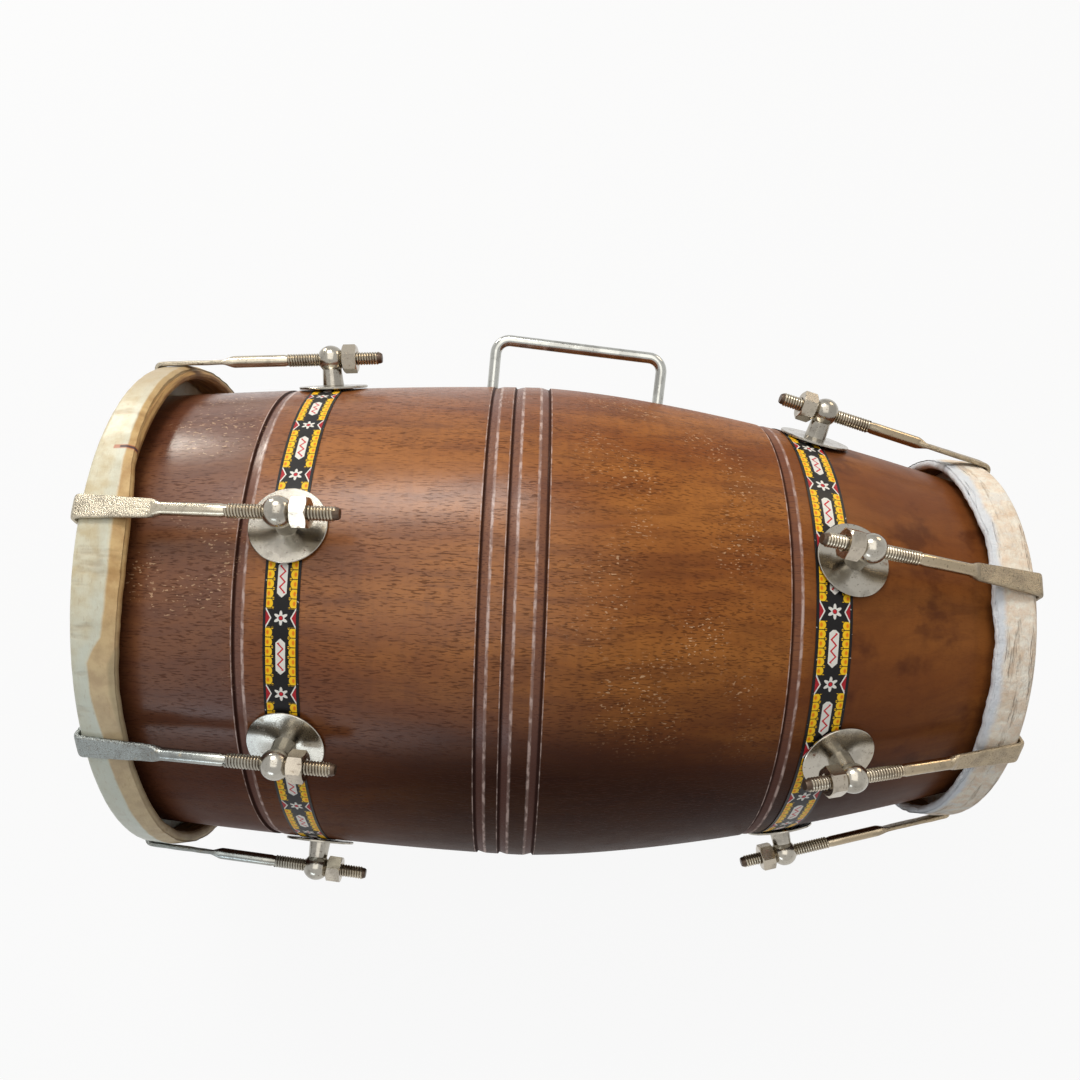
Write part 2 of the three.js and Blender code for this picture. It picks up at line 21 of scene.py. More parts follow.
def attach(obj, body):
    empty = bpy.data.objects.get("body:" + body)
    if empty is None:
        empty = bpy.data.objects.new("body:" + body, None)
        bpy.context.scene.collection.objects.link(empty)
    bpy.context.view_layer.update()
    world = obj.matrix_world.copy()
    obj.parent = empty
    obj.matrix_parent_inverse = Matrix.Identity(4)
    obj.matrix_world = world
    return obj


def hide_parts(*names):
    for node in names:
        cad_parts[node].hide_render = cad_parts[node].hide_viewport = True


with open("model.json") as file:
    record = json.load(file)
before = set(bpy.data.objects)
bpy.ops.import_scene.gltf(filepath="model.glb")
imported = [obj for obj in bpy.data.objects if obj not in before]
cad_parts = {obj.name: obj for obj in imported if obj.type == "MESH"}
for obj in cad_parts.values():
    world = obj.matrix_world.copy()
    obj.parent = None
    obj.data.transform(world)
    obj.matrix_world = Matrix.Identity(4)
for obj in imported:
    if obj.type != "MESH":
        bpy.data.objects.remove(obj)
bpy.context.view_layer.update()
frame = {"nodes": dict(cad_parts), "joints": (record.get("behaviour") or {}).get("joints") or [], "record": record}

log = logging.getLogger("dholak")
SEED = 7
FULL_TURN = 2 * math.pi
HALF_PI = math.pi / 2


# Where the drum stands

def rest_matrix() -> Matrix:
    """The drum's own frame in the row frame, from the treble head's mount.

    Returns:
        The matrix that sets a piece drawn in the drum's frame down in the row frame.
    """
    membrane_face = 0.2568
    mounts = {mount["name"]: mount for mount in frame["record"]["mounts"]}
    treble = mounts["treble_head_face"]
    along = Vector(treble["axis"]).normalized()
    across = Vector((0, 1, 0))
    up = along.cross(across)
    matrix = Matrix((along, across, up)).transposed().to_4x4()
    matrix.translation = Vector(treble["pos_m"]) - along * membrane_face
    return matrix


REST = rest_matrix()


class Finish(Enum):
    """The record's material slots."""

    WOOD = "turned_wood"
    GOATSKIN = "bass_goatskin"
    RAWHIDE = "treble_rawhide"
    CANE = "hoop_cane"
    PASTE = "tuning_paste"
    TAPE = "woven_tape"
    POST = "post_steel"
    HOOK = "hook_steel"
    NUT = "nut_steel"
    HANDLE = "handle_wire"
    FASTENER = "inner_fastener_steel"


# Shader expressions

Value = Union["Wire", float, Sequence[float]]


def operator(operation: str, flipped: bool = False) -> Callable[["Wire", Value], "Wire"]:
    """A method that makes one Math node from a wire and another value.

    Args:
        operation: The node's operation.
        flipped: Whether the wire comes second.

    Returns:
        The method.
    """
    def method(wire: "Wire", other: Value) -> "Wire":
        """The node's result."""
        return wire.math(operation, other, wire) if flipped else wire.math(operation, wire, other)

    return method


class Wire:
    """A node's output, on which Python arithmetic makes Math nodes."""

    def __init__(self, tree: "Tree", socket: bpy.types.NodeSocket) -> None:
        """Keeps the output and its tree.

        Args:
            tree: The tree that the node is in.
            socket: The node's output.
        """
        self.tree = tree
        self.socket = socket

    def math(self, operation: str, *values: Value) -> "Wire":
        """One Math node.

        Args:
            operation: The node's operation.
            *values: Its inputs, in order.

        Returns:
            The node's result.
        """
        return self.tree.node("ShaderNodeMath", {"operation": operation}, dict(enumerate(values)))["Value"]

    __add__ = __radd__ = operator("ADD")
    __sub__ = operator("SUBTRACT")
    __rsub__ = operator("SUBTRACT", flipped=True)
    __mul__ = __rmul__ = operator("MULTIPLY")
    __truediv__ = operator("DIVIDE")
    __pow__ = operator("POWER")
    __mod__ = operator("FLOORED_MODULO")
    __lt__ = operator("LESS_THAN")
    __gt__ = operator("GREATER_THAN")
    lesser = operator("MINIMUM")
    greater = operator("MAXIMUM")
    angle_over = operator("ARCTAN2")

    def __abs__(self) -> "Wire":
        """The size without its sign."""
        return self.math("ABSOLUTE", self)

    def ramp(self, low: float, high: float) -> "Wire":
        """A smooth rise from 0 at low to 1 at high, or a fall where low is the greater.

        Args:
            low: Where the result is 0.
            high: Where the result is 1.

        Returns:
            The share, from 0 to 1.
        """
        start, end, first, last = (low, high, 0.0, 1.0) if low < high else (high, low, 1.0, 0.0)
        sockets = {"Value": self, "From Min": start, "From Max": end, "To Min": first, "To Max": last}
        settings = {"interpolation_type": "SMOOTHSTEP"}
        return self.tree.node("ShaderNodeMapRange", settings, sockets)["Result"]


class Made:
    """A node that has been made, whose outputs are picked by name."""

    def __init__(self, tree: "Tree", node: bpy.types.Node) -> None:
        """Keeps the node and its tree.

        Args:
            tree: The tree that the node is in.
            node: The node.
        """
        self.tree = tree
        self.node = node

    def __getitem__(self, output: Union[str, int]) -> Wire:
        """One of the node's outputs."""
        return Wire(self.tree, self.node.outputs[output])


class Tree:
    """A node tree in the making, whose nodes all come from one method."""

    def __init__(self, tree: bpy.types.NodeTree) -> None:
        """Empties the tree.

        Args:
            tree: A material's or a world's tree.
        """
        self.tree = tree
        tree.nodes.clear()

    def node(self, kind: str, settings: dict[str, Any] | None = None,
             sockets: dict[Union[str, int], Value] | None = None) -> Made:
        """Makes one node.

        Args:
            kind: The node's type.
            settings: Its properties, set before its sockets.
            sockets: Values or wires for its inputs, by name or by place.

        Returns:
            The node, for its outputs.
        """
        made = self.tree.nodes.new(kind)
        for key, value in (settings or {}).items():
            setattr(made, key, value)
        for key, value in (sockets or {}).items():
            self.feed(made.inputs[key], value)
        return Made(self, made)

    def feed(self, socket: bpy.types.NodeSocket, value: Value) -> None:
        """Links a wire to an input, or sets its value.

        Args:
            socket: The input.
            value: A wire, a number, or a colour or vector.
        """
        if isinstance(value, Wire):
            self.tree.links.new(value.socket, socket)
        elif socket.type == "RGBA":
            socket.default_value = (*value, 1.0)
        else:
            socket.default_value = value

    def plainly_seen(self) -> Wire:
        """1 for what the camera sees, or metal or glass shows, and 0 for the light on the drum."""
        path = self.node("ShaderNodeLightPath")
        return path["Is Camera Ray"].greater(path["Is Glossy Ray"]).greater(path["Is Transmission Ray"])


class Paint(Tree):
    """A procedural material in the making, on one Principled shader."""

    def __init__(self, name: str, **constants: Value) -> None:
        """Starts the material.

        Args:
            name: The material's name.
            **constants: The shader's fixed values, as coat_roughness=0.1 for Coat Roughness.
        """
        self.material = bpy.data.materials.new(name)
        self.material.use_nodes = True
        super().__init__(self.material.node_tree)
        self.shader = self.node("ShaderNodeBsdfPrincipled")
        self.surface = self.node("ShaderNodeOutputMaterial", None, {"Surface": self.shader["BSDF"]})
        self.wear(**constants)

    def drum_point(self) -> Wire:
        """The point in the drum's own frame, in metres."""
        place, turn, _ = REST.inverted().decompose()
        coordinates = self.node("ShaderNodeTexCoord")["Object"]
        sockets = {"Vector": coordinates, "Location": place, "Rotation": turn.to_euler()}
        return self.node("ShaderNodeMapping", {"vector_type": "POINT"}, sockets)["Vector"]

    def parts_of(self, vector: Wire) -> tuple[Wire, Wire, Wire]:
        """The X, Y and Z of a vector."""
        made = self.node("ShaderNodeSeparateXYZ", None, {"Vector": vector})
        return made["X"], made["Y"], made["Z"]

    def cloud(self, vector: Wire, scale: float, detail: float = 2.0, rough: float = 0.5,
              stretch: Sequence[float] | None = None) -> Wire:
        """Noise from about 0.2 to 0.8.

        Args:
            vector: The point.
            scale: Lumps to a metre.
            detail: Octaves of finer noise.
            rough: How strong the finer noise is.
            stretch: Lumps along X, Y and Z as shares of that scale, where they aren't round.

        Returns:
            The noise.
        """
        if stretch:
            operation = {"operation": "MULTIPLY"}
            vector = self.node("ShaderNodeVectorMath", operation, {0: vector, 1: stretch})["Vector"]
        sockets = {"Vector": vector, "Scale": scale, "Detail": detail, "Roughness": rough}
        return self.node("ShaderNodeTexNoise", {"noise_dimensions": "3D"}, sockets)["Fac"]

    def swirl(self, vector: Wire, scale: float) -> Wire:
        """Noise as a vector, to bend a pattern with."""
        sockets = {"Vector": vector, "Scale": scale, "Detail": 2.0}
        return self.node("ShaderNodeTexNoise", {"noise_dimensions": "3D"}, sockets)["Color"]

    def cells(self, vector: Wire, scale: float, feature: str = "F1") -> Wire:
        """The distance to the nearest of scattered points, or to the edge of its cell."""
        sockets = {"Vector": vector, "Scale": scale}
        return self.node("ShaderNodeTexVoronoi", {"feature": feature}, sockets)["Distance"]

    def mixed(self, share: Value, first: Value, second: Value) -> Wire:
        """Two colours mixed.

        Args:
            share: How much of the second, from 0 to 1.
            first: The first colour.
            second: The second colour.

        Returns:
            The colour.
        """
        return self.node("ShaderNodeMix", {"data_type": "RGBA"}, {0: share, 6: first, 7: second})[2]

    def layered(self, color: Value, *layers: tuple[Value, Sequence[float]]) -> Wire:
        """A colour with others laid over it in turn.

        Args:
            color: The lowest colour.
            *layers: Each layer's share of the surface and its colour on a screen.

        Returns:
            The colour.
        """
        for share, over in layers:
            color = self.mixed(share, color, linear(*over))
        return color

    def attribute(self, name: str) -> Wire:
        """A piece's own number at each point."""
        return self.node("ShaderNodeAttribute", {"attribute_name": name})["Fac"]

    def bump(self, height: Wire, distance: float, strength: float = 1.0) -> None:
        """Feeds a height to the shader's Normal.

        Args:
            height: The height, from 0 to 1.
            distance: How far 1 stands out, in metres.
            strength: How much of it shows.
        """
        sockets = {"Height": height, "Distance": distance, "Strength": strength}
        self.wear(normal=self.node("ShaderNodeBump", None, sockets)["Normal"])

    def wear(self, **values: Value) -> bpy.types.Material:
        """Feeds the shader's inputs.

        Args:
            **values: The inputs, as base_color=wire for Base Color.

        Returns:
            The material.
        """
        for key, value in values.items():
            label = key.replace("_", " ").title().replace("Ior", "IOR")
            self.feed(self.shader.node.inputs[label], value)
        return self.material


def linear(red: float, green: float, blue: float) -> tuple[float, float, float]:
    """A colour as it looks on a screen, from 0 to 255, as the linear colour that a shader takes."""
    def one(level: float) -> float:
        """One channel."""
        share = level / 255
        return share / 12.92 if share <= 0.04045 else ((share + 0.055) / 1.055) ** 2.4

    return one(red), one(green), one(blue)


# Shapes

def clamped(share: float) -> float:
    """A share kept from 0 to 1."""
    return max(0.0, min(1.0, share))


def eased(share: float) -> float:
    """A share that leaves 0 and reaches 1 smoothly."""
    return share * share * (3 - 2 * share)


def arc(middle: tuple[float, float], radius: float, start: float, end: float,
        steps: int) -> list[tuple[float, float]]:
    """Points on an arc of an outline.

    Args:
        middle: The arc's middle.
        radius: Its radius.
        start: Its first point's angle, from the first coordinate towards the second.
        end: Its last point's angle.
        steps: Steps between the two.

    Returns:
        The points.
    """
    angles = [math.radians(start + (end - start) * step / steps) for step in range(steps + 1)]
    return [(middle[0] + radius * math.cos(angle), middle[1] + radius * math.sin(angle)) for angle in angles]


def sharpen(bm: bmesh.types.BMesh, corner: float) -> None:
    """Shades a shape smoothly, with its corners kept sharp.

    Args:
        bm: The shape.
        corner: The least angle between two faces that stays sharp.
    """
    for face in bm.faces:
        face.smooth = True
    for edge in bm.edges:
        edge.smooth = len(edge.link_faces) != 2 or edge.calc_face_angle(0.0) < math.radians(corner)


def turned(points: Sequence[tuple[float, float]], segments: int, closed: bool = True) -> bmesh.types.BMesh:
    """A piece turned about X.

    Args:
        points: The outline, as places along X with their radii.
        segments: Steps round the turn.
        closed: Whether the outline's last point joins its first.

    Returns:
        The piece, with its poles and seam merged.
    """
    bm = bmesh.new()
    verts = [bm.verts.new((along, 0, radius)) for along, radius in points]
    pairs = zip(verts, verts[1:] + verts[:1] if closed else verts[1:])
    edges = [bm.edges.new(pair) for pair in pairs]
    bmesh.ops.spin(bm, geom=verts + edges, cent=(0, 0, 0), axis=(1, 0, 0), dvec=(0, 0, 0),
                   angle=FULL_TURN, steps=segments, use_merge=True)
    bmesh.ops.remove_doubles(bm, verts=bm.verts, dist=1e-6)
    bmesh.ops.recalc_face_normals(bm, faces=bm.faces)
    return bm


def grown(bm: bmesh.types.BMesh, rim: Sequence[bmesh.types.BMEdge]) -> tuple[
        list[bmesh.types.BMVert], list[bmesh.types.BMEdge]]:
    """Grows a shape by one ring of faces from its open rim.

    Args:
        bm: The shape.
        rim: The rim's edges.

    Returns:
        The new rim's points, which are still in the old one's places, and its edges.
    """
    made = bmesh.ops.extrude_edge_only(bm, edges=rim)["geom"]
    verts = [item for item in made if isinstance(item, bmesh.types.BMVert)]
    known = set(verts)
    edges = [edge for vert in verts for edge in vert.link_edges if edge.other_vert(vert) in known]
    return verts, list(dict.fromkeys(edges))


@dataclass(frozen=True)
class Station:
    """One ring of a forged bar, which lies in the plane of X and Z.

    Attributes:
        x: The ring's place along X.
        z: The ring's place along Z.
        heading: How far below X the bar heads there, in radians.
        half_width: Half its size along Y.
        half_thickness: Half its size across, in the plane.
        squareness: 2 for a round section, and more for a squarer one.
    """

    x: float
    z: float
    heading: float
    half_width: float
    half_thickness: float
    squareness: float = 2.0

    def point(self, angle: float) -> Vector:
        """The ring's point at an angle round it."""
        power = 2 / self.squareness
        across = math.copysign(abs(math.cos(angle)) ** power, math.cos(angle)) * self.half_width
        lift = math.copysign(abs(math.sin(angle)) ** power, math.sin(angle)) * self.half_thickness
        return Vector((self.x + lift * math.sin(self.heading), across,
                       self.z + lift * math.cos(self.heading)))


def forged(stations: Sequence[Station], sides: int) -> bmesh.types.BMesh:
    """A bar drawn out ring by ring, with closed ends.

    Args:
        stations: The rings, in order.
        sides: Points round a ring.

    Returns:
        The bar.
    """
    bm = bmesh.new()
    turn = bm.verts.layers.float.new("turn")
    bmesh.ops.create_circle(bm, cap_ends=True, radius=1, segments=sides)
    for vert in bm.verts:
        vert[turn] = math.atan2(vert.co.y, vert.co.x)
        vert.co = stations[0].point(vert[turn])
    rim = list(bm.edges)
    for station in stations[1:]:
        verts, rim = grown(bm, rim)
        for vert in verts:
            vert.co = station.point(vert[turn])
    bmesh.ops.contextual_create(bm, geom=rim)
    bmesh.ops.recalc_face_normals(bm, faces=bm.faces)
    return bm


def mesh_of(bm: bmesh.types.BMesh, name: str) -> bpy.types.Mesh:
    """Ends a shape as a mesh."""
    mesh = bpy.data.meshes.new(name)
    bm.to_mesh(mesh)
    bm.free()
    return mesh


def put(name: str, bm: bmesh.types.BMesh, matrix: Matrix, material: bpy.types.Material, slot: Finish,
        body: str, nodes: Sequence[str], corner: float = 35.0) -> bpy.types.Object:
    """Makes a piece of the drum from its shape.

    Args:
        name: The piece's name.
        bm: Its shape, which is used up.
        matrix: Where the shape goes in the row frame.
        material: Its material.
        slot: The record's slot of its finish; not used.
        body: The body it rides on.
        nodes: The CAD nodes it stands for.
        corner: The least angle that stays a sharp edge.

    Returns:
        The piece.
    """
    bmesh.ops.transform(bm, matrix=matrix, verts=bm.verts)
    sharpen(bm, corner)
    piece = bpy.data.objects.new(name, mesh_of(bm, name))
    bpy.context.scene.collection.objects.link(piece)
    piece.data.materials.append(material)
    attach(piece, body)
    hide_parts(*nodes)
    log.info("%s: %d faces", name, len(piece.data.polygons))
    return piece


# Layout of the two ends

@dataclass(frozen=True)
class End:
    """One end of the drum, with lengths measured from the belly towards that end's head.

    Attributes:
        name: The end's name, which starts its nodes' names.
        side: -1 for the bass end and 1 for the treble end.
        length: From the belly to the rim.
        rim_drop: How much less the radius is at the rim than at the belly.
        curve_power: How late the shell curves in.
        skin: The head's thickness.
        hoop_overhang: How far the lapped hoop stands out round the rim.
        hoop_setback: How far its front is behind the rim.
        hoop_pull: How far it is off the drum's axis, towards PULL_ANGLE.
        hoop_width: Its width along the drum.
        hoop_wall: The bare hoop's thickness.
        groove: The turned groove's place.
        tape: The tape's place.
        tape_width: The tape's width.
        free_length: How far a rod runs on past its post's ball.
    """

    name: str
    side: int
    length: float
    rim_drop: float
    curve_power: float
    skin: float
    hoop_overhang: float
    hoop_setback: float
    hoop_pull: float
    hoop_width: float
    hoop_wall: float
    groove: float
    tape: float
    tape_width: float
    free_length: float

    @property
    def hoop_front(self) -> float:
        """The place of the lapped hoop's front."""
        return self.length - self.hoop_setback


BASS = End(name="bass", side=-1, length=0.2168, rim_drop=0.0128, curve_power=1.5, skin=0.0016,
           hoop_overhang=0.0152, hoop_setback=0.0023, hoop_pull=0.0016, hoop_width=0.0217, hoop_wall=0.0042,
           groove=0.1387, tape=0.1175, tape_width=0.0172, free_length=0.029)
TREBLE = End(name="treble", side=1, length=0.255, rim_drop=0.0474, curve_power=1.55, skin=0.0015,
             hoop_overhang=0.015, hoop_setback=0.0014, hoop_pull=0.0, hoop_width=0.0206, hoop_wall=0.0032,
             groove=0.1284, tape=0.1474, tape_width=0.019, free_length=0.0265)
ENDS = (BASS, TREBLE)
PULL_ANGLE = 159.0
POSTS_PER_END = 7
FIT_GAP = 0.0003
HOOKED_EDGE = 0.0093


@dataclass(frozen=True)
class Groove:
    """A turned groove, which drops steeply on one side and rises gently to the other.

    Attributes:
        place: Its middle along the drum.
        steep: The steep side: -1 towards the bass head, 1 towards the treble head.
        width: Its width.
        depth: Its depth.
        steep_share: How much of its width the steep side takes.
    """

    place: float
    steep: int
    width: float = 0.0054
    depth: float = 0.0011
    steep_share: float = 0.18

    def places(self) -> list[float]:
        """Places along the drum that show its shape."""
        shares = (-0.06, 0, 0.05, 0.1, 0.14, 0.18, 0.3, 0.45, 0.6, 0.75, 0.88, 1, 1.06)
        return [self.place + self.steep * self.width * (0.5 - share) for share in shares]

    def cut(self, x: float) -> float:
        """How deep it cuts at a place along the drum."""
        share = 0.5 - self.steep * (x - self.place) / self.width
        if not 0 < share < 1:
            return 0.0
        if share < self.steep_share:
            return self.depth * eased(share / self.steep_share)
        return self.depth * (1 - (share - self.steep_share) / (1 - self.steep_share)) ** 1.15


@dataclass(frozen=True)
class Course:
    """A number that changes round the drum.

    Attributes:
        stops: Angles round the drum, rising from -180 to 180, each with the number there.
    """

    stops: tuple[tuple[float, float], ...]

    def at(self, angle: float) -> float:
        """The number at an angle, in degrees."""
        for (low, first), (high, second) in zip(self.stops, self.stops[1:]):
            if angle <= high:
                return first + (second - first) * (angle - low) / (high - low)
        return self.stops[-1][1]


@dataclass
class Barrel:
    """The turned shell.

    Attributes:
        belly_radius: The radius at the belly, where X is 0.
        belly_wall: The wall there.
        rim_wall: The wall at the rims.
        rim_round: The rounding of the rims.
        middle_grooves: The grooves by the belly.
        step: Spacing of the outline's points.
        segments: Steps round the turn.
    """

    belly_radius: float = 0.1392
    belly_wall: float = 0.014
    rim_wall: float = 0.011
    rim_round: float = 0.003
    middle_grooves: tuple[Groove, ...] = (Groove(-0.0227, -1), Groove(-0.0104, -1), Groove(0.0042, 1))
    step: float = 0.005
    segments: int = 256

    def radius(self, x: float) -> float:
        """The plain outer radius at a place along the drum."""
        end = BASS if x < 0 else TREBLE
        return self.belly_radius - end.rim_drop * (abs(x) / end.length) ** end.curve_power

    def wall(self, x: float) -> float:
        """The wall's thickness at a place along the drum."""
        end = BASS if x < 0 else TREBLE
        return self.belly_wall + (self.rim_wall - self.belly_wall) * abs(x) / end.length

    def lean(self, end: End, place: float) -> float:
        """How far the shell's surface leans in towards a head at a place, in radians."""
        slope = end.rim_drop * end.curve_power * (place / end.length) ** (end.curve_power - 1) / end.length
        return math.atan(slope)

    def rim_radius(self, end: End) -> float:
        """The radius at an end's rim."""
        return self.belly_radius - end.rim_drop

    def grooves(self) -> list[Groove]:
        """Every groove."""
        return [*self.middle_grooves, *(Groove(end.side * end.groove, -1) for end in ENDS)]

    def outline(self) -> list[tuple[float, float]]:
        """The closed outline: the outside from the bass rim to the treble rim, and the bore back."""
        low, high = -BASS.length + self.rim_round, TREBLE.length - self.rim_round
        count = math.ceil((high - low) / self.step)
        places = {low + (high - low) * index / count for index in range(count + 1)}
        grooves = self.grooves()
        places = {x for x in places if all(abs(x - groove.place) > groove.width * 0.6 for groove in grooves)}
        places |= {x for groove in grooves for x in groove.places()}
        outside = [(x, self.radius(x) - max(groove.cut(x) for groove in grooves)) for x in sorted(places)]
        return [*self.rim(BASS), *outside, *reversed(self.rim(TREBLE)), *self.bore()]

    def rim(self, end: End) -> list[tuple[float, float]]:
        """A rim's rounding, from its end face out to the outside."""
        middle = (end.length - self.rim_round, self.rim_radius(end) - self.rim_round)
        return [(end.side * along, radius) for along, radius in arc(middle, self.rim_round, 0, 90, 5)[:-1]]

    def bore(self) -> list[tuple[float, float]]:
        """The bore, from the treble rim to the bass rim."""
        shares = [1, 0.9, 0.75, 0.6, 0.45, 0.3, 0.15]
        treble = [share * TREBLE.length for share in shares]
        bass = [-share * BASS.length for share in reversed(shares)]
        return [(x, self.radius(x) - self.wall(x)) for x in (*treble, 0.0, *bass)]

    def build(self, material: bpy.types.Material) -> None:
        """Makes the shell."""
        put("turned_shell", turned(self.outline(), self.segments), REST, material, Finish.WOOD, "drum",
            ["shell"], corner=20)


# Finishes

@dataclass(frozen=True)
class TurnedWood:
    """Dark stained and varnished hardwood, with its grain along the drum, painted shade on its -Y side and bottom,
    and painted shade, reflection and highlights in its grooves.

    Attributes:
        barrel: The shell that it is for.
    """

    barrel: Barrel

    def material(self) -> bpy.types.Material:
        """Makes the material."""
        paint = Paint("turned_wood_varnish", coat_roughness=0.27, ior=1.42, specular_ior_level=0.06)
        point = paint.drum_point()
        along, across, _ = paint.parts_of(point)
        warp = paint.node("ShaderNodeVectorMath", {"operation": "MULTIPLY_ADD"},
                          {0: paint.swirl(point, 7), 1: (0.05, 0.05, 0.05), 2: point})["Vector"]
        flame = paint.cloud(warp, 22, 4, 0.6, stretch=(0.3, 1, 1))
        streaks = paint.cloud(warp, 130, 4, 0.65, stretch=(0.05, 1, 1))
        blotches = paint.cloud(point, 34, 4, 0.6)
        ripple = paint.cloud(point, 210, 3, 0.6, stretch=(1, 0.16, 0.16))
        bass_zone = along.ramp(-0.128, -0.150)
        treble_zone = along.ramp(0.126, 0.140)
        blotch = blotches.ramp(0.52, 0.68) * (0.2 + treble_zone * 0.5)
        stains = paint.cloud(point, 11, 2).ramp(0.5, 0.75)
        # Painted shade at the very bottom of the shell, from the bass side to the belly; it takes (26, 7, 4)
        # below.
        under = across.ramp(-0.085, -0.118) * along.ramp(-0.15, -0.02)
        pores = paint.cloud(point, 1500, 1.0, 0.5, stretch=(0.15, 1, 1))
        pore_field = paint.cloud(point, 55, 2, stretch=(0.5, 1, 1))
        pore = pores.ramp(0.53, 0.66) * (pore_field.ramp(0.3, 0.6) * 0.5 + 0.5) * (1.0 - treble_zone * 0.8)
        # Painted light in the grooves: painted shade on the steep sides, a painted sky reflection on the gentle
        # sides, and lips that are partly wear and partly painted highlight.
        floor, face, lip = self.groove_painted_light_and_wear(along)
        worn = paint.cloud(point, 420, 2, stretch=(1, 0.4, 0.4)).ramp(0.45, 0.62)
        scratches = self.scratches(paint, point, along, across)
        color = paint.layered(linear(134, 76, 36), (flame.ramp(0.36, 0.64), (166, 104, 50)),
                              (streaks.ramp(0.42, 0.66) * 0.45, (98, 54, 32)),
                              (ripple.ramp(0.45, 0.7) * 0.2, (100, 58, 34)),
                              (bass_zone * 0.6, (88, 56, 48)), (treble_zone * 0.5, (112, 64, 32)),
                              (blotch, (80, 42, 24)), (stains * 0.4, (104, 60, 42)),
                              # Painted shade: (62, 30, 22) darkens the -Y side, away from the lamps, and (26, 7,
                              # 4) the very bottom.
                              (across.ramp(-0.05, -0.12) * 0.62, (62, 30, 22)), (under * 0.8, (26, 7, 4)),
                              # Groove colours: (108, 74, 66) painted reflection, (40, 20, 16) painted shade, (206,
                              # 180, 170) worn lips with painted highlight.
                              (pore * 0.6, (66, 34, 20)), (face * 0.6, (108, 74, 66)),
                              (floor * 0.85, (40, 20, 16)), (lip * (worn * 0.6 + 0.25), (206, 180, 170)),
                              (scratches * 0.75, (216, 176, 136)))
        paint.bump(pore * -0.8 + streaks * 0.6 + blotches * 0.3, 0.00016, 0.9)
        gloss = paint.cloud(point, 75, 3)
        varnish = (along.ramp(0.06, -0.03) * 0.56 + bass_zone * 0.3 + 0.10) * across.ramp(-0.118, -0.085)
        return paint.wear(base_color=color, roughness=0.36 + gloss * 0.14 + floor * 0.3,
                          coat_weight=varnish * (1.0 - (floor * 0.8).greater(pore * 0.6)))

    def groove_painted_light_and_wear(self, along: Wire) -> tuple[Wire, Wire, Wire]:
        """Where the grooves' painted light and worn lips go: painted shade on the steep sides, a painted
        reflection on the gentle sides, and lips that are partly worn and partly a painted highlight.

        Args:
            along: The place along the drum.

        Returns:
            The three shares of the surface.
        """
        floor = face = lip = None
        for groove in self.barrel.grooves():
            share = 0.5 - (along - groove.place) * (groove.steep / groove.width)
            marks = (abs(share - 0.12).ramp(0.24, 0.05), abs(share - 0.55).ramp(0.56, 0.42),
                     abs(share - 0.98).ramp(0.20, 0.05).greater(abs(share + 0.06).ramp(0.07, 0.01)))
            if floor is None:
                floor, face, lip = marks
            else:
                floor, face, lip = (whole.greater(mark) for whole, mark in zip((floor, face, lip), marks))
        return floor, face, lip

    @staticmethod
    def scratches(paint: Paint, point: Wire, along: Wire, across: Wire) -> Wire:
        """Short pale scratches along the drum, mostly on the treble side of the belly."""
        marks = paint.cloud(point, 980, 1, 0.4, stretch=(0.45, 1, 1)).ramp(0.655, 0.69)
        field = paint.cloud(point, 24, 1).ramp(0.44, 0.60) * along.ramp(0.005, 0.05) * along.ramp(0.12, 0.10)
        left = paint.cloud(point, 30, 1).ramp(0.54, 0.62) * along.ramp(-0.13, -0.15)
        return marks * field.greater(left * 0.8) * across.ramp(-0.11, -0.075)


@dataclass(frozen=True)
class Steel:
    """Plated steel with handling marks, and a painted bluish sky reflection on the bass end's -Y side.

    Attributes:
        slot: The record's slot of its finish, which names the material.
        clean: Its clean colour on a screen.
        tarnish: The colour of its dull patches on a screen.
        roughness: Its clean roughness.
        patches: How much of it is dull, from 0 to 1.
        grain: Height of its fine grain, in metres.
    """

    slot: Finish
    clean: tuple[int, int, int]
    tarnish: tuple[int, int, int]
    roughness: float
    patches: float
    grain: float

    def material(self) -> bpy.types.Material:
        """Makes the material."""
        paint = Paint(self.slot.value)
        point = paint.drum_point()
        along, across, _ = paint.parts_of(point)
        cloud = paint.cloud(point, 180, 4, 0.6)
        dull = cloud.ramp(0.75 - 0.3 * self.patches, 0.85 - 0.2 * self.patches)
        fine = paint.cloud(point, 1800, 3, 0.6)
        forged_share = paint.attribute("forged")
        root = paint.attribute("root")
        specks = paint.cloud(point, 900, 1, 0.4).ramp(0.66, 0.74)
        rust = paint.cloud(point, 150, 4, 0.7).ramp(0.64, 0.72) * paint.attribute("flat")
        warm = along.ramp(0.16, 0.2)
        # Painted reflection: a bluish tint on the bass end's -Y side, where the metal mirrors the sky.
        painted_sky_reflection = along.ramp(-0.1, -0.17) * across.ramp(-0.03, -0.06)
        shade = paint.cloud(point, 75, 3, 0.6).ramp(0.48, 0.62)
        pebbles = paint.cells(point, 1500)
        color = paint.layered(linear(*self.clean), (warm * 0.7, (158, 138, 108)),
                              (painted_sky_reflection * 0.7, (116, 132, 140)), (shade * 0.3, (86, 80, 74)),
                              (dull * 0.7, self.tarnish),
                              ((specks * 0.5 + root * 0.95).lesser(1.0), (78, 58, 42)),
                              (rust * 0.8, (122, 74, 44)),
                              (forged_share * pebbles.ramp(0.55, 0.85) * 0.45, (92, 82, 66)))
        paint.bump(fine * 0.4 + pebbles.ramp(0.9, 0.1) * forged_share * 2.0, self.grain)
        rough = self.roughness + dull * 0.2 + forged_share * 0.2 + fine * 0.08 + root * 0.2 + rust * 0.3
        metallic = 1.0 - root * 0.5 - rust * 0.6
        return paint.wear(base_color=color, roughness=rough.lesser(1.0), metallic=metallic)


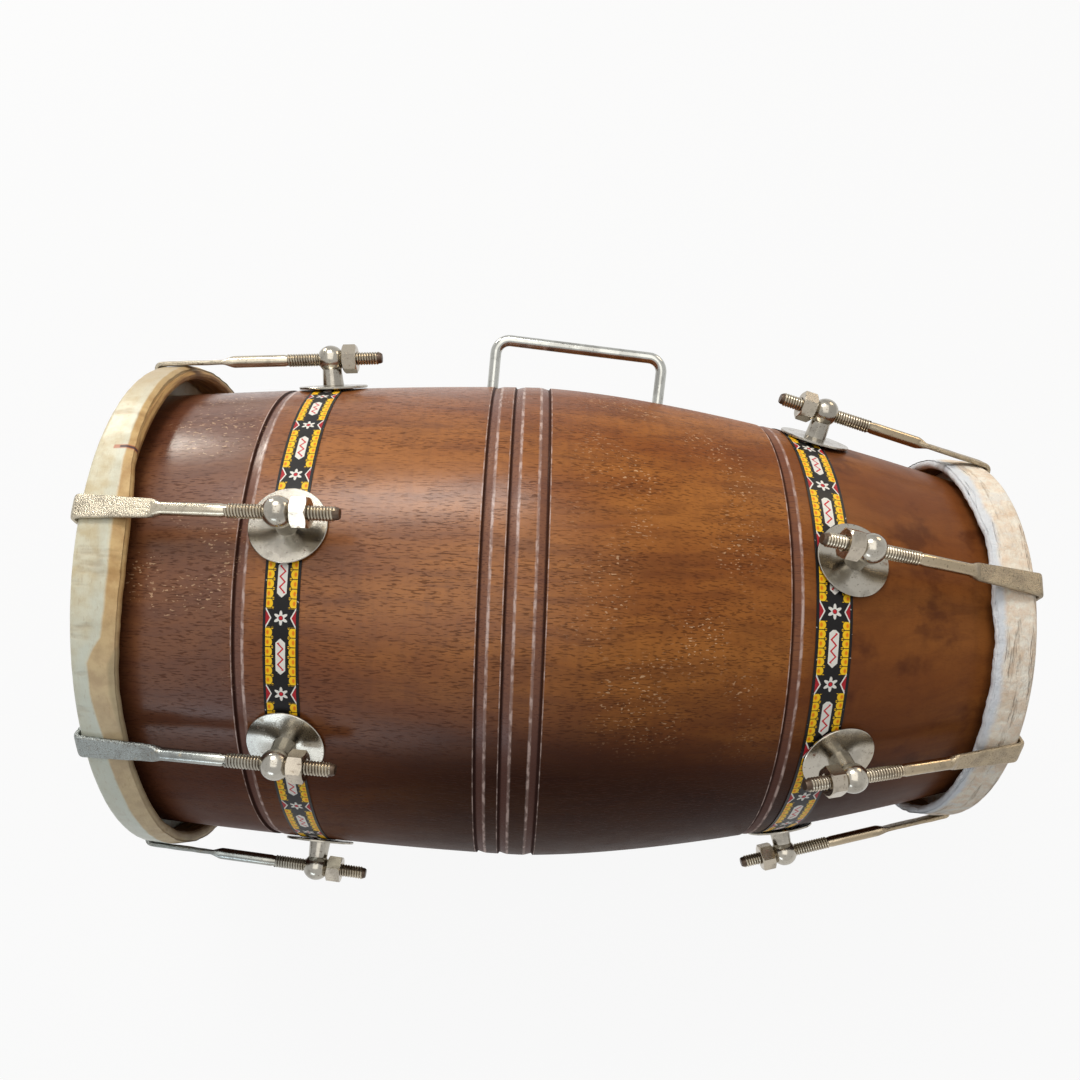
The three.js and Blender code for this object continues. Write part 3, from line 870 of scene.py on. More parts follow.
@dataclass(frozen=True)
class Goatskin:
    """The bass head's skin: pale and satin in front, tan behind on its lap, with a painted highlight along its
    ridge, painted light on its -Y side and painted shade on its +Y side and rolled back edge.

    Attributes:
        end: The end it is for.
    """

    end: End

    def material(self) -> bpy.types.Material:
        """Makes the material."""
        paint = Paint("bass_goatskin", coat_roughness=0.22, ior=1.45)
        point = paint.drum_point()
        along, across, up = paint.parts_of(point)
        before = paint.attribute("ridge")
        mottle = paint.cloud(point, 120, 4, 0.6)
        wander = (paint.cloud(point, 60, 2) - 0.5) * 0.006
        fibres = paint.cloud(point, 700, 3, 0.6, stretch=(1, 0.35, 0.35))
        membrane = along.ramp(-self.end.hoop_front - 0.0006, -self.end.hoop_front - 0.0012)
        behind = (before + wander * 0.2).ramp(0.0006, -0.0008)
        # Painted highlight: a bluish-white band just in front of the lap's ridge.
        painted_ridge_sheen = (before + wander).ramp(0.0, 0.0012) * (before + wander).ramp(0.0072, 0.0030)
        # Painted light: the -Y side of the skin is lightened to bluish white, as a painted sky reflection.
        low = across.ramp(-0.035, -0.10)
        # Painted shade: the rolled-under back of the lap is greyed where it turns in towards the shell.
        painted_roll_shade = (before + (self.end.hoop_width - 0.017)).ramp(-0.0035, -0.0055)
        creases = paint.cloud(point, 90, 3, stretch=(0.3, 1, 1)).ramp(0.60, 0.72)
        ink, ends = self.pen_stroke(across, up, along)
        front = paint.layered(linear(226, 220, 194), (mottle.ramp(0.35, 0.7), (210, 194, 156)),
                              (painted_ridge_sheen * 0.35, (216, 224, 214)))
        tan = paint.layered(linear(216, 182, 126), (mottle.ramp(0.3, 0.7), (190, 150, 96)))
        color = paint.layered(paint.mixed(behind, front, tan), (membrane * 0.6, (224, 208, 172)),
                              # painted sky light on the -Y side, less on the lap's tan back
                              (low * (0.75 - behind * 0.45), (206, 212, 200)),
                              # painted shade: the +Y side, which the lamps light most, is darkened towards tan
                              (across.ramp(0.045, 0.095) * 0.8, (176, 152, 112)),
                              (painted_roll_shade * behind * 0.5, (150, 138, 108)), (creases * 0.35, (146, 112, 68)),
                              (fibres.ramp(0.55, 0.75) * 0.25, (160, 128, 84)), (ends * 0.75, (190, 96, 60)),
                              (ink * 0.9, (44, 34, 40)))
        paint.bump(fibres * 0.5 + mottle * 0.8 + creases * -0.8, 0.00032)
        return paint.wear(base_color=color, roughness=0.40 + mottle * 0.18 + behind * 0.15,
                          coat_weight=0.22 - behind * 0.18)

    def pen_stroke(self, across: Wire, up: Wire, along: Wire) -> tuple[Wire, Wire]:
        """A short pen stroke along the lap, and its reddish ends.

        Args:
            across: The place across the drum.
            up: The place above the axis.
            along: The place along the drum.

        Returns:
            The stroke's and its ends' shares of the surface.
        """
        stroke_angle, stroke_behind, curve = 1.755, 0.0155, 40.0
        place = along * -1.0 - (self.end.hoop_front - stroke_behind)
        bow = (up.angle_over(across * -1.0) - stroke_angle) + place * place * curve
        ends = abs(bow).ramp(0.011, 0.006) * abs(place).ramp(0.0066, 0.0058)
        ink = abs(bow).ramp(0.0065, 0.0035) * abs(place + 0.0012).ramp(0.0048, 0.0040)
        return ink, ends


@dataclass(frozen=True)
class Rawhide:
    """The treble head's skin: matt, fibrous and mottled, with the back edge of its lap tinted bluish white as
    painted sky light.

    Attributes:
        end: The end it is for.
    """

    end: End

    def material(self) -> bpy.types.Material:
        """Makes the material."""
        paint = Paint("treble_rawhide", ior=1.45)
        point = paint.drum_point()
        along, _, _ = paint.parts_of(point)
        behind = (along * self.end.side - self.end.hoop_front) * -1.0
        mottle = paint.cloud(point, 190, 5, 0.7)
        stain = paint.cloud(point, 52, 4, 0.6)
        chalk = paint.cloud(point, 80, 4, 0.65, stretch=(0.8, 1, 1))
        fibres = paint.cloud(point, 900, 4, 0.7, stretch=(1, 0.22, 0.22))
        creases = paint.cloud(point, 260, 3, 0.6, stretch=(1, 0.12, 0.12)).ramp(0.56, 0.68)
        # Painted light: the back edge of the lap is tinted bluish white, as sky light on it.
        lip = (behind + (stain - 0.5) * 0.008).ramp(0.0150, 0.0185)
        color = paint.layered(linear(252, 244, 228), (mottle.ramp(0.35, 0.65), (240, 218, 194)),
                              (stain.ramp(0.50, 0.70) * 0.5, (208, 176, 140)),
                              (chalk.ramp(0.50, 0.66) * 0.8, (240, 236, 228)),
                              (creases * 0.35, (178, 150, 122)),
                              (fibres.ramp(0.55, 0.72) * 0.22, (164, 140, 114)),
                              # painted sky light on the lap's back edge
                              (lip * 0.85, (226, 232, 240)))
        paint.bump(fibres * 0.6 + mottle * 1.2 - creases * 0.9, 0.0009)
        return paint.wear(base_color=color, roughness=0.74 + mottle * 0.15)


@dataclass(frozen=True)
class Cane:
    """Bent cane with its grain round the hoop."""

    def material(self) -> bpy.types.Material:
        """Makes the material."""
        paint = Paint("hoop_cane", ior=1.45)
        point = paint.drum_point()
        lines = paint.cloud(point, 900, 3, stretch=(1, 0.06, 0.06))
        shade = paint.cloud(point, 60, 3)
        color = paint.mixed(lines.ramp(0.3, 0.7), linear(186, 148, 92), linear(140, 100, 58))
        color = paint.layered(color, (shade.ramp(0.5, 0.7) * 0.4, (112, 84, 56)))
        paint.bump(lines, 0.0003)
        return paint.wear(base_color=color, roughness=0.6 + lines * 0.15)


@dataclass(frozen=True)
class Paste:
    """Dried black tuning paste, crazed and matt."""

    def material(self) -> bpy.types.Material:
        """Makes the material."""
        paint = Paint("tuning_paste", ior=1.4)
        point = paint.drum_point()
        cracks = paint.cells(point, 260, "DISTANCE_TO_EDGE").ramp(0.05, 0.0)
        dust = paint.cloud(point, 90, 4)
        color = paint.mixed(dust.ramp(0.4, 0.75) * 0.5, linear(38, 32, 28), linear(84, 72, 60))
        paint.bump(1.0 - cracks, 0.0005)
        return paint.wear(base_color=color, roughness=0.8 + dust * 0.1)


@dataclass(frozen=True)
class WovenTape:
    """Printed tape: rosettes and lozenges on black, between saw-toothed yellow edges.

    Attributes:
        end: The end it is for.
        radius: Its mean radius.
        repeats: How many times the pattern comes in a turn.
        edge: Where the black edges start, from 0 at the tape's middle to 1.
    """

    end: End
    radius: float
    repeats: int
    edge: float = 0.84

    def material(self) -> bpy.types.Material:
        """Makes the material."""
        paint = Paint(f"{self.end.name}_woven_tape", coat_roughness=0.2, ior=1.4, specular_ior_level=0.25)
        point = paint.drum_point()
        along, across, up = paint.parts_of(point)
        half = self.end.tape_width / 2
        v = (along * self.end.side - self.end.tape) / half
        turn = up.angle_over(across) / FULL_TURN + 0.5
        count = turn * self.repeats
        period = FULL_TURN * self.radius / self.repeats
        aspect = period / half
        u = count % 1.0
        plaque_place, star_place = 0.25, 0.75
        from_star = abs(u - star_place) * aspect
        black = linear(17, 15, 16)
        white = linear(236, 232, 224)
        red = linear(204, 36, 48)
        size = abs(v)
        color = self.scales(paint, count, size, black)
        bare = (size < 0.40).greater(from_star < 0.50)
        color = paint.mixed(bare * (size < self.edge), color, black)
        plaque, zigzag = self.plaque(u, v, plaque_place, aspect)
        color = paint.mixed(plaque, color, white)
        color = paint.mixed(plaque * zigzag, color, red)
        star, disc = self.rosette(u, v, star_place, aspect)
        color = paint.mixed(star, color, white)
        color = paint.mixed(disc, color, red)
        gore = (size > from_star * 0.55 + 0.52) * (size < self.edge)
        rim = gore * (size < from_star * 0.55 + 0.60)
        stripes = ((v * 22.0) % 1.0) < 0.72
        color = paint.mixed(gore * (1.0 - rim) * stripes, color, red)
        color = paint.mixed(rim, color, white)
        weave = paint.cloud(point, 2600, 2, 0.6)
        chips = paint.cloud(point, 500, 2, 0.5).ramp(0.70, 0.74) * (size > 0.8)
        color = paint.layered(color, (weave.ramp(0.5, 0.8) * 0.08, (80, 70, 60)),
                              (chips * 0.8, (206, 200, 192)))
        paint.bump(weave, 0.00006)
        return paint.wear(base_color=color, roughness=0.36 + weave * 0.2, coat_weight=0.1)

    def scales(self, paint: Paint, count: Wire, size: Wire, black: Sequence[float]) -> Wire:
        """The two bands of yellow scales, outlined in black, with an orange spot on each.

        Args:
            paint: The material.
            count: The place round the drum, in repeats.
            size: The distance from the tape's middle, from 0 to 1.
            black: The ground's colour.

        Returns:
            The colour of the bands and the ground.
        """
        step = (count * 8.0) % 1.0 - 0.5
        bow = step * step
        inner = 0.44 + bow * 0.55
        outline = (abs(step) > 0.455).greater(abs(size - inner) < 0.022)
        body = (size > inner) * (size < self.edge)
        tip = (size > 0.40) * (size < inner) * (abs(step) > 0.27 + (0.52 - size) * 1.2)
        spot = bow + (size - 0.72) * (size - 0.72) * 9.0
        yellow = paint.mixed(spot.ramp(0.10, 0.01), linear(255, 204, 34), linear(240, 132, 24))
        return paint.mixed(body.greater(tip) * (1.0 - outline), black, yellow)

    @staticmethod
    def plaque(u: Wire, v: Wire, middle: float, aspect: float) -> tuple[Wire, Wire]:
        """A long pointed plaque, and the zigzag on it.

        Args:
            u: The place round the drum within a repeat, from 0 to 1.
            v: The place across the tape, from -1 to 1.
            middle: The plaque's middle along u.
            aspect: How much longer a repeat is than half the width.

        Returns:
            The plaque's and the zigzag's share of the surface.
        """
        du = (u - middle) * aspect
        plaque = (abs(v) < 0.27) * (abs(du) + abs(v) * 0.9 < 1.02)
        wave = abs((du * 1.7 + 0.25) % 1.0 - 0.5) * 0.56 - 0.14
        return plaque, (abs(v - wave) < 0.055) * (abs(du) < 0.78)

    @staticmethod
    def rosette(u: Wire, v: Wire, middle: float, aspect: float) -> tuple[Wire, Wire]:
        """A six-petalled flower and its heart.

        Args:
            u: The place round the drum within a repeat, from 0 to 1.
            v: The place across the tape, from -1 to 1.
            middle: The flower's middle along u.
            aspect: How much longer a repeat is than half the width.

        Returns:
            The flower's and the heart's share of the surface.
        """
        du = (u - middle) * aspect
        reach = (du * du + v * v) ** 0.5
        petals = 0.30 + u.math("COSINE", v.angle_over(du) * 6.0) * 0.11
        return (reach < petals) * (reach > 0.13), reach < 0.10


# Heads, hoops and tapes

@dataclass
class Skin:
    """A head: a flat membrane lapped round its hoop.

    Attributes:
        end: The end it is for.
        barrel: The shell it is stretched over.
        ripple: How far the lap's back edge wanders.
        back_edge: How far the lap's back edge is towards the head, in millimetres.
        ridge: How far behind the lap's front its ridge runs, in millimetres.
        ridge_height: How far the ridge stands out.
        edge_round: The rounding of the lap's front.
        lip: How much of the lap's front the hooks cover.
        segments: Steps round the turn.
    """

    end: End
    barrel: Barrel
    ripple: float
    back_edge: Course
    ridge: Course
    ridge_height: float
    edge_round: float = 0.003
    lip: float = HOOKED_EDGE
    segments: int = 360

    def outline(self) -> list[tuple[float, float]]:
        """The closed outline, from the membrane's middle out and back, towards the head as positive."""
        end = self.end
        inner = end.length + FIT_GAP
        outer = inner + end.skin
        edge = self.barrel.rim_radius(end) - self.barrel.rim_round
        hoop = self.barrel.rim_radius(end) + end.hoop_overhang
        front = end.hoop_front
        back = front - end.hoop_width
        depth = end.skin + FIT_GAP + end.hoop_wall
        round_start = front - self.edge_round
        membrane = [(outer, edge * share) for share in (0, 0.25, 0.5, 0.7, 0.85, 0.95, 1)]
        foot = hoop - self.lip
        rise = [(front + 0.25 * (outer - front), edge + 0.7 * (foot - edge)), (front, foot)]
        outside_round = arc((round_start, hoop - self.edge_round), self.edge_round, 0, 90, 6)
        count = 24
        span = round_start - back
        band = [(round_start - span * step / count, hoop) for step in range(1, count)]
        roll = arc((back + depth / 2, hoop - depth / 2), depth / 2, 90, 270, 10)
        thick = end.skin
        inside = [(round_start, hoop - thick), (front - thick, hoop - self.edge_round),
                  (front - thick, hoop - self.lip), (inner, edge), (inner, edge * 0.5), (inner, 0)]
        slack = 0.0005
        roll_inside = [(back + thick + 2 * slack, hoop - depth), (back + thick + slack, hoop - depth + thick),
                       (back + thick + slack, hoop - thick)]
        return [*membrane, *rise, *outside_round, *band, *roll, *roll_inside, *inside]

    def build(self, material: bpy.types.Material, slot: Finish) -> None:
        """Makes the head's skin.

        Args:
            material: Its material.
            slot: The record's slot of its finish.
        """
        points = [(self.end.side * along, radius) for along, radius in self.outline()]
        bm = turned(points, self.segments)
        self.crease(bm)
        name = f"{self.end.name}_skin"
        put(f"{name}_lapped", bm, REST, material, slot, "drum", [name], corner=60)

    def crease(self, bm: bmesh.types.BMesh) -> None:
        """Moves the lap's points so that it wanders and puckers as shrunk skin does.

        Args:
            bm: The skin, turned.
        """
        end = self.end
        edge = self.barrel.rim_radius(end)
        hoop = edge + end.hoop_overhang
        mark = bm.verts.layers.float.new("ridge")
        for vert in bm.verts:
            radius = math.hypot(vert.co.y, vert.co.z)
            behind = end.hoop_front - vert.co.x * end.side
            angle = math.atan2(vert.co.z, -vert.co.y)
            ridge = self.ridge.at(math.degrees(angle)) / 1000
            vert[mark] = ridge - behind
            if radius < edge:
                continue
            near_back = clamped(behind / end.hoop_width)
            loop = Vector((math.cos(angle), math.sin(angle), 0.3 * end.side))
            wander = noise.noise(loop * 9) * 0.5 + noise.noise(loop * 26) * 0.5
            pucker = noise.noise(Vector((loop.x * 22, loop.y * 22, vert.co.x * 60)))
            vert.co.x += (self.back_edge.at(math.degrees(angle)) / 1000 + self.ripple * wander) * (
                end.side * near_back ** 3)
            outside = clamped((radius - hoop + end.skin) / end.skin)
            height = self.ridge_height * self.tent(behind, ridge) * outside
            dent = 0.0005 * (pucker - 0.35) * (0.3 + 0.7 * near_back)
            share = 1 + (height + dent) / radius
            vert.co.y *= share
            vert.co.z *= share
        off_axis(bm, end, self.barrel)

    def tent(self, behind: float, ridge: float) -> float:
        """How high the lap stands at a distance behind its front, from its ridge as 1.

        Args:
            behind: The distance behind the front.
            ridge: The ridge's own distance behind the front.

        Returns:
            The share of the ridge's height.
        """
        if behind < ridge:
            return max(0.0, (behind - self.edge_round) / (ridge - self.edge_round))
        return 1 - 1.6 * (behind - ridge) / max(0.004, self.end.hoop_width - ridge)


def off_axis(bm: bmesh.types.BMesh, end: End, barrel: Barrel) -> None:
    """Moves a hoop, or a skin's lap, off the drum's axis, while the membrane stays where it is.

    Args:
        bm: The shape, turned about the axis.
        end: The end it is on.
        barrel: The shell.
    """
    rim = barrel.rim_radius(end)
    low, high = rim - barrel.rim_round, rim + end.hoop_overhang - HOOKED_EDGE
    angle = math.radians(PULL_ANGLE)
    for vert in bm.verts:
        pull = end.hoop_pull * clamped((math.hypot(vert.co.y, vert.co.z) - low) / (high - low))
        vert.co += Vector((0, -math.cos(angle), math.sin(angle))) * pull


@dataclass
class Hoop:
    """The bare hoop inside a head's lap."""

    end: End
    barrel: Barrel
    segments: int = 192

    def build(self, material: bpy.types.Material) -> None:
        """Makes the hoop."""
        end = self.end
        outer = self.barrel.rim_radius(end) + end.hoop_overhang - end.skin - FIT_GAP
        inner = outer - end.hoop_wall
        front = end.hoop_front - end.skin - FIT_GAP
        back = end.hoop_front - end.hoop_width + end.skin + FIT_GAP
        bevel = 0.0014
        points = [(front, inner + bevel), (front, outer - bevel), (front - bevel, outer),
                  (back + bevel, outer), (back, outer - bevel), (back, inner + bevel), (back + bevel, inner),
                  (front - bevel, inner)]
        bm = turned([(end.side * along, radius) for along, radius in points], self.segments)
        off_axis(bm, end, self.barrel)
        name = f"{end.name}_flesh_hoop"
        put(f"{name}_bent", bm, REST, material, Finish.CANE, "drum", [name])


@dataclass
class Tape:
    """A decorative tape round the shell.

    Attributes:
        end: The end it is for.
        barrel: The shell it is stuck to.
        thickness: Its thickness.
        lift: How far it is off the turned surface.
        repeats: How many times its pattern comes in a turn.
        segments: Steps round the turn.
    """

    end: End
    barrel: Barrel
    repeats: int
    thickness: float = 0.00035
    lift: float = 0.0001
    segments: int = 288

    def build(self) -> None:
        """Makes the tape and its pattern."""
        end = self.end
        count = 8
        places = [end.tape + end.tape_width * (step / count - 0.5) for step in range(count + 1)]
        under = [(end.side * place, self.barrel.radius(end.side * place) + self.lift) for place in places]
        over = [(x, radius + self.thickness) for x, radius in reversed(under)]
        bm = turned([*under, *over], self.segments)
        radius = self.barrel.radius(end.side * end.tape) + self.lift + self.thickness
        material = WovenTape(end, radius, self.repeats).material()
        name = f"{end.name}_tape"
        put(f"{name}_printed", bm, REST, material, Finish.TAPE, "drum", [name])


# Tuning gear

@dataclass
class Lug:
    """The frames of one post and its rod, from the nut's joint.

    Attributes:
        end: The end it is on.
        number: Its number on that end, from 1.
        ball: The post's ball, in the row frame.
        out: The rod's direction towards the head.
        lift: The direction square to the rod, away from the drum's axis.
        radial: The direction from the drum's axis to the ball.
    """

    end: End
    number: int
    ball: Vector
    out: Vector
    lift: Vector
    radial: Vector

    @classmethod
    def from_joint(cls, end: End, number: int, seat: float) -> "Lug":
        """Finds a lug from the joint of its nut.

        Args:
            end: The end it is on.
            number: Its number on that end.
            seat: From the ball's middle to the nut's face.

        Returns:
            The lug.
        """
        joints = {joint["name"]: joint for joint in frame["joints"]}
        joint = joints[f"{end.name}_nut_{number}_turn"]
        out = -Vector(joint["axis"]).normalized()
        ball = Vector(joint["pos_m"]) + out * seat
        axis = REST.to_3x3() @ Vector((1, 0, 0))
        offset = ball - REST.translation
        radial = (offset - axis * offset.dot(axis)).normalized()
        lift = (radial - out * radial.dot(out)).normalized()
        return cls(end, number, ball, out, lift, radial)

    @property
    def axis(self) -> Vector:
        """The drum's axis, towards this end's head."""
        return REST.to_3x3() @ Vector((self.end.side, 0, 0))

    @property
    def place(self) -> float:
        """The ball's place along the drum, from the belly."""
        return (self.ball - REST.translation).dot(self.axis)

    def rod_matrix(self) -> Matrix:
        """The rod's frame: X towards the head, Z away from the drum, at the ball's middle."""
        return self.framed(self.out, self.lift, self.ball)

    def post_matrix(self, lean: float, height: float) -> Matrix:
        """The post's frame: Z along its stem, at the shell's surface."""
        stem = (self.radial * math.cos(lean) + self.axis * math.sin(lean)).normalized()
        towards = (self.axis - stem * self.axis.dot(stem)).normalized()
        return self.framed(towards, stem, self.ball - stem * height)

    @staticmethod
    def framed(x: Vector, z: Vector, place: Vector) -> Matrix:
        """A frame from its X, its Z and its place."""
        matrix = Matrix((x, z.cross(x), z)).transposed().to_4x4()
        matrix.translation = place
        return matrix


@dataclass
class Post:
    """A tuning post: washer, stem and cross-drilled ball outside, and stud, washer and nut inside.

    Attributes:
        height: From the shell's surface to the ball's middle.
        ball_radius: The ball's radius.
        hole_radius: Its cross hole's radius.
        stem_radius: The stem's radius.
        stud_radius: The stud's radius.
        washer_radius: The outer washer's radius.
        washer: Both washers' thickness.
        inner_washer_radius: The inner washer's radius.
        inner_nut_flats: The inner nut's size across its flats.
        inner_nut: The inner nut's thickness.
        wall: From the surface to the inner washer.
        lift: From the surface to the outer washer.
        nut_contact: The radius at which the tuning nut bears on the ball.
        stem_stop: From the ball's middle down to the stem's end.
        stud_past: How far the stud runs on past the inner nut.
    """

    height: float = 0.0164
    ball_radius: float = 0.0076
    hole_radius: float = 0.0038
    stem_radius: float = 0.00525
    stud_radius: float = 0.004
    washer_radius: float = 0.0193
    washer: float = 0.0013
    inner_washer_radius: float = 0.010
    inner_nut_flats: float = 0.013
    inner_nut: float = 0.006
    wall: float = 0.0145
    lift: float = 0.0006
    nut_contact: float = 0.0039
    stem_stop: float = 0.0043
    stud_past: float = 0.003

    @property
    def seat(self) -> float:
        """From the ball's middle to the nut's face."""
        return math.sqrt(self.ball_radius ** 2 - self.nut_contact ** 2) + FIT_GAP

    def lean(self, lug: Lug, barrel: Barrel) -> float:
        """How far the shell's surface, and so the post, leans in towards the head, in radians."""
        lean = 0.0
        for _ in range(4):
            lean = barrel.lean(lug.end, lug.place - self.height * math.sin(lean))
        return lean

    def standing_outline(self) -> list[tuple[float, float]]:
        """The outline of stem and washer, along the stem from inside to outside."""
        edge = 0.0003
        low, high = self.lift, self.lift + self.washer
        fillet = 0.0007
        radius = self.stem_radius
        top = self.height - self.stem_stop
        collar = arc((high + fillet, radius + fillet), fillet, 270, 180, 4)
        inner = -self.wall
        back = inner - self.washer
        tip = back - self.inner_nut - self.stud_past
        chamfer = 0.0006
        return [(tip, 0), (tip, self.stud_radius - chamfer), (tip + chamfer, self.stud_radius),
                (back, self.stud_radius), (back, self.inner_washer_radius - edge),
                (back + edge, self.inner_washer_radius), (inner - edge, self.inner_washer_radius),
                (inner, self.inner_washer_radius - edge), (inner, self.stud_radius), (low, self.stud_radius),
                (low, self.washer_radius - edge), (low + edge, self.washer_radius),
                (high - edge, self.washer_radius), (high, self.washer_radius - edge),
                (high, self.washer_radius * 0.75), (high, self.washer_radius * 0.5), *collar,
                (top, radius), (top, 0)]

    def ball_outline(self) -> list[tuple[float, float]]:
        """The closed outline of the drilled ball, along its hole."""
        reach = math.degrees(math.acos((self.hole_radius + FIT_GAP) / self.ball_radius))
        outside = arc((0, 0), self.ball_radius, 90 + reach, 90 - reach, 16)
        end = outside[-1][0]
        return [*outside, (end - 0.0002, self.hole_radius), (-end + 0.0002, self.hole_radius)]

    def build(self, lug: Lug, barrel: Barrel, material: bpy.types.Material) -> None:
        """Makes one post.

        Args:
            lug: Where it stands.
            barrel: The shell it stands on.
            material: Its material.
        """
        standing = lug.post_matrix(self.lean(lug, barrel), self.height)
        bm = turned(self.standing_outline(), 64, closed=False)
        along_z = Matrix.Rotation(-HALF_PI, 4, "Y")
        mark = bm.verts.layers.float.new("flat")
        for vert in bm.verts:
            vert[mark] = float(math.hypot(vert.co.y, vert.co.z) > self.inner_washer_radius)
        bmesh.ops.transform(bm, matrix=standing @ along_z, verts=bm.verts)
        ball = turned(self.ball_outline(), 40)
        add(bm, ball, lug.rod_matrix())
        nut = hexagon(self.inner_nut_flats, self.inner_nut, self.stud_radius * 0.9)
        place = Matrix.Translation((0, 0, -self.wall - self.washer - self.inner_nut))
        add(bm, nut, standing @ place @ along_z)
        name = f"{lug.end.name}_post_{lug.number}"
        put(f"{name}_turned", bm, Matrix.Identity(4), material, Finish.POST, "drum", [name])


def add(bm: bmesh.types.BMesh, other: bmesh.types.BMesh, matrix: Matrix) -> None:
    """Adds another shape to a shape.

    Args:
        bm: The shape that grows.
        other: The shape that is added, which is used up.
        matrix: Where it goes.
    """
    bmesh.ops.transform(other, matrix=matrix, verts=other.verts)
    mesh = mesh_of(other, "added")
    bm.from_mesh(mesh)
    bpy.data.meshes.remove(mesh)


def hexagon(flats: float, length: float, bore: float, sides: int = 48) -> bmesh.types.BMesh:
    """A hexagonal nut with chamfered faces, along X from 0.

    Args:
        flats: Its size across the flats.
        length: Its length.
        bore: Its bore's radius.
        sides: Points round a ring, a multiple of 6.

    Returns:
        The nut.
    """
    bm = bmesh.new()
    turn = bm.verts.layers.float.new("turn")
    face_share = 0.96
    chamfer_angle = 30
    face_radius = flats / 2 * face_share
    entry = 0.0005

    def corner_radius(angle: float) -> float:
        """The hexagon's radius at an angle."""
        return flats / 2 / math.cos((angle + math.pi / 6) % (math.pi / 3) - math.pi / 6)

    def bevel(angle: float) -> float:
        """How far the chamfer comes down there."""
        return (corner_radius(angle) - face_radius) * math.tan(math.radians(chamfer_angle))

    rings: list[Callable[[float], tuple[float, float]]] = [
        lambda angle: (entry, bore),
        lambda angle: (0.0, bore + entry),
        lambda angle: (0.0, face_radius),
        lambda angle: (bevel(angle), corner_radius(angle)),
        lambda angle: (length - bevel(angle), corner_radius(angle)),
        lambda angle: (length, face_radius),
        lambda angle: (length, bore + entry),
        lambda angle: (length - entry, bore),
    ]
    bmesh.ops.create_circle(bm, cap_ends=False, radius=1, segments=sides)
    for vert in bm.verts:
        vert[turn] = math.atan2(vert.co.y, vert.co.x)
    rim = list(bm.edges)
    first = list(bm.verts)

    def set_ring(verts: Sequence[bmesh.types.BMVert], ring: Callable[[float], tuple[float, float]]) -> None:
        """Moves a ring's points to their places."""
        for vert in verts:
            along, radius = ring(vert[turn])
            vert.co = Vector((along, radius * math.sin(vert[turn]), radius * math.cos(vert[turn])))

    set_ring(first, rings[0])
    for ring in rings[1:]:
        verts, rim = grown(bm, rim)
        set_ring(verts, ring)
    first_rim = [edge for vert in first for edge in vert.link_edges if edge.other_vert(vert) in first]
    bmesh.ops.bridge_loops(bm, edges=list(dict.fromkeys(first_rim)) + rim)
    bmesh.ops.recalc_face_normals(bm, faces=bm.faces)
    return bm


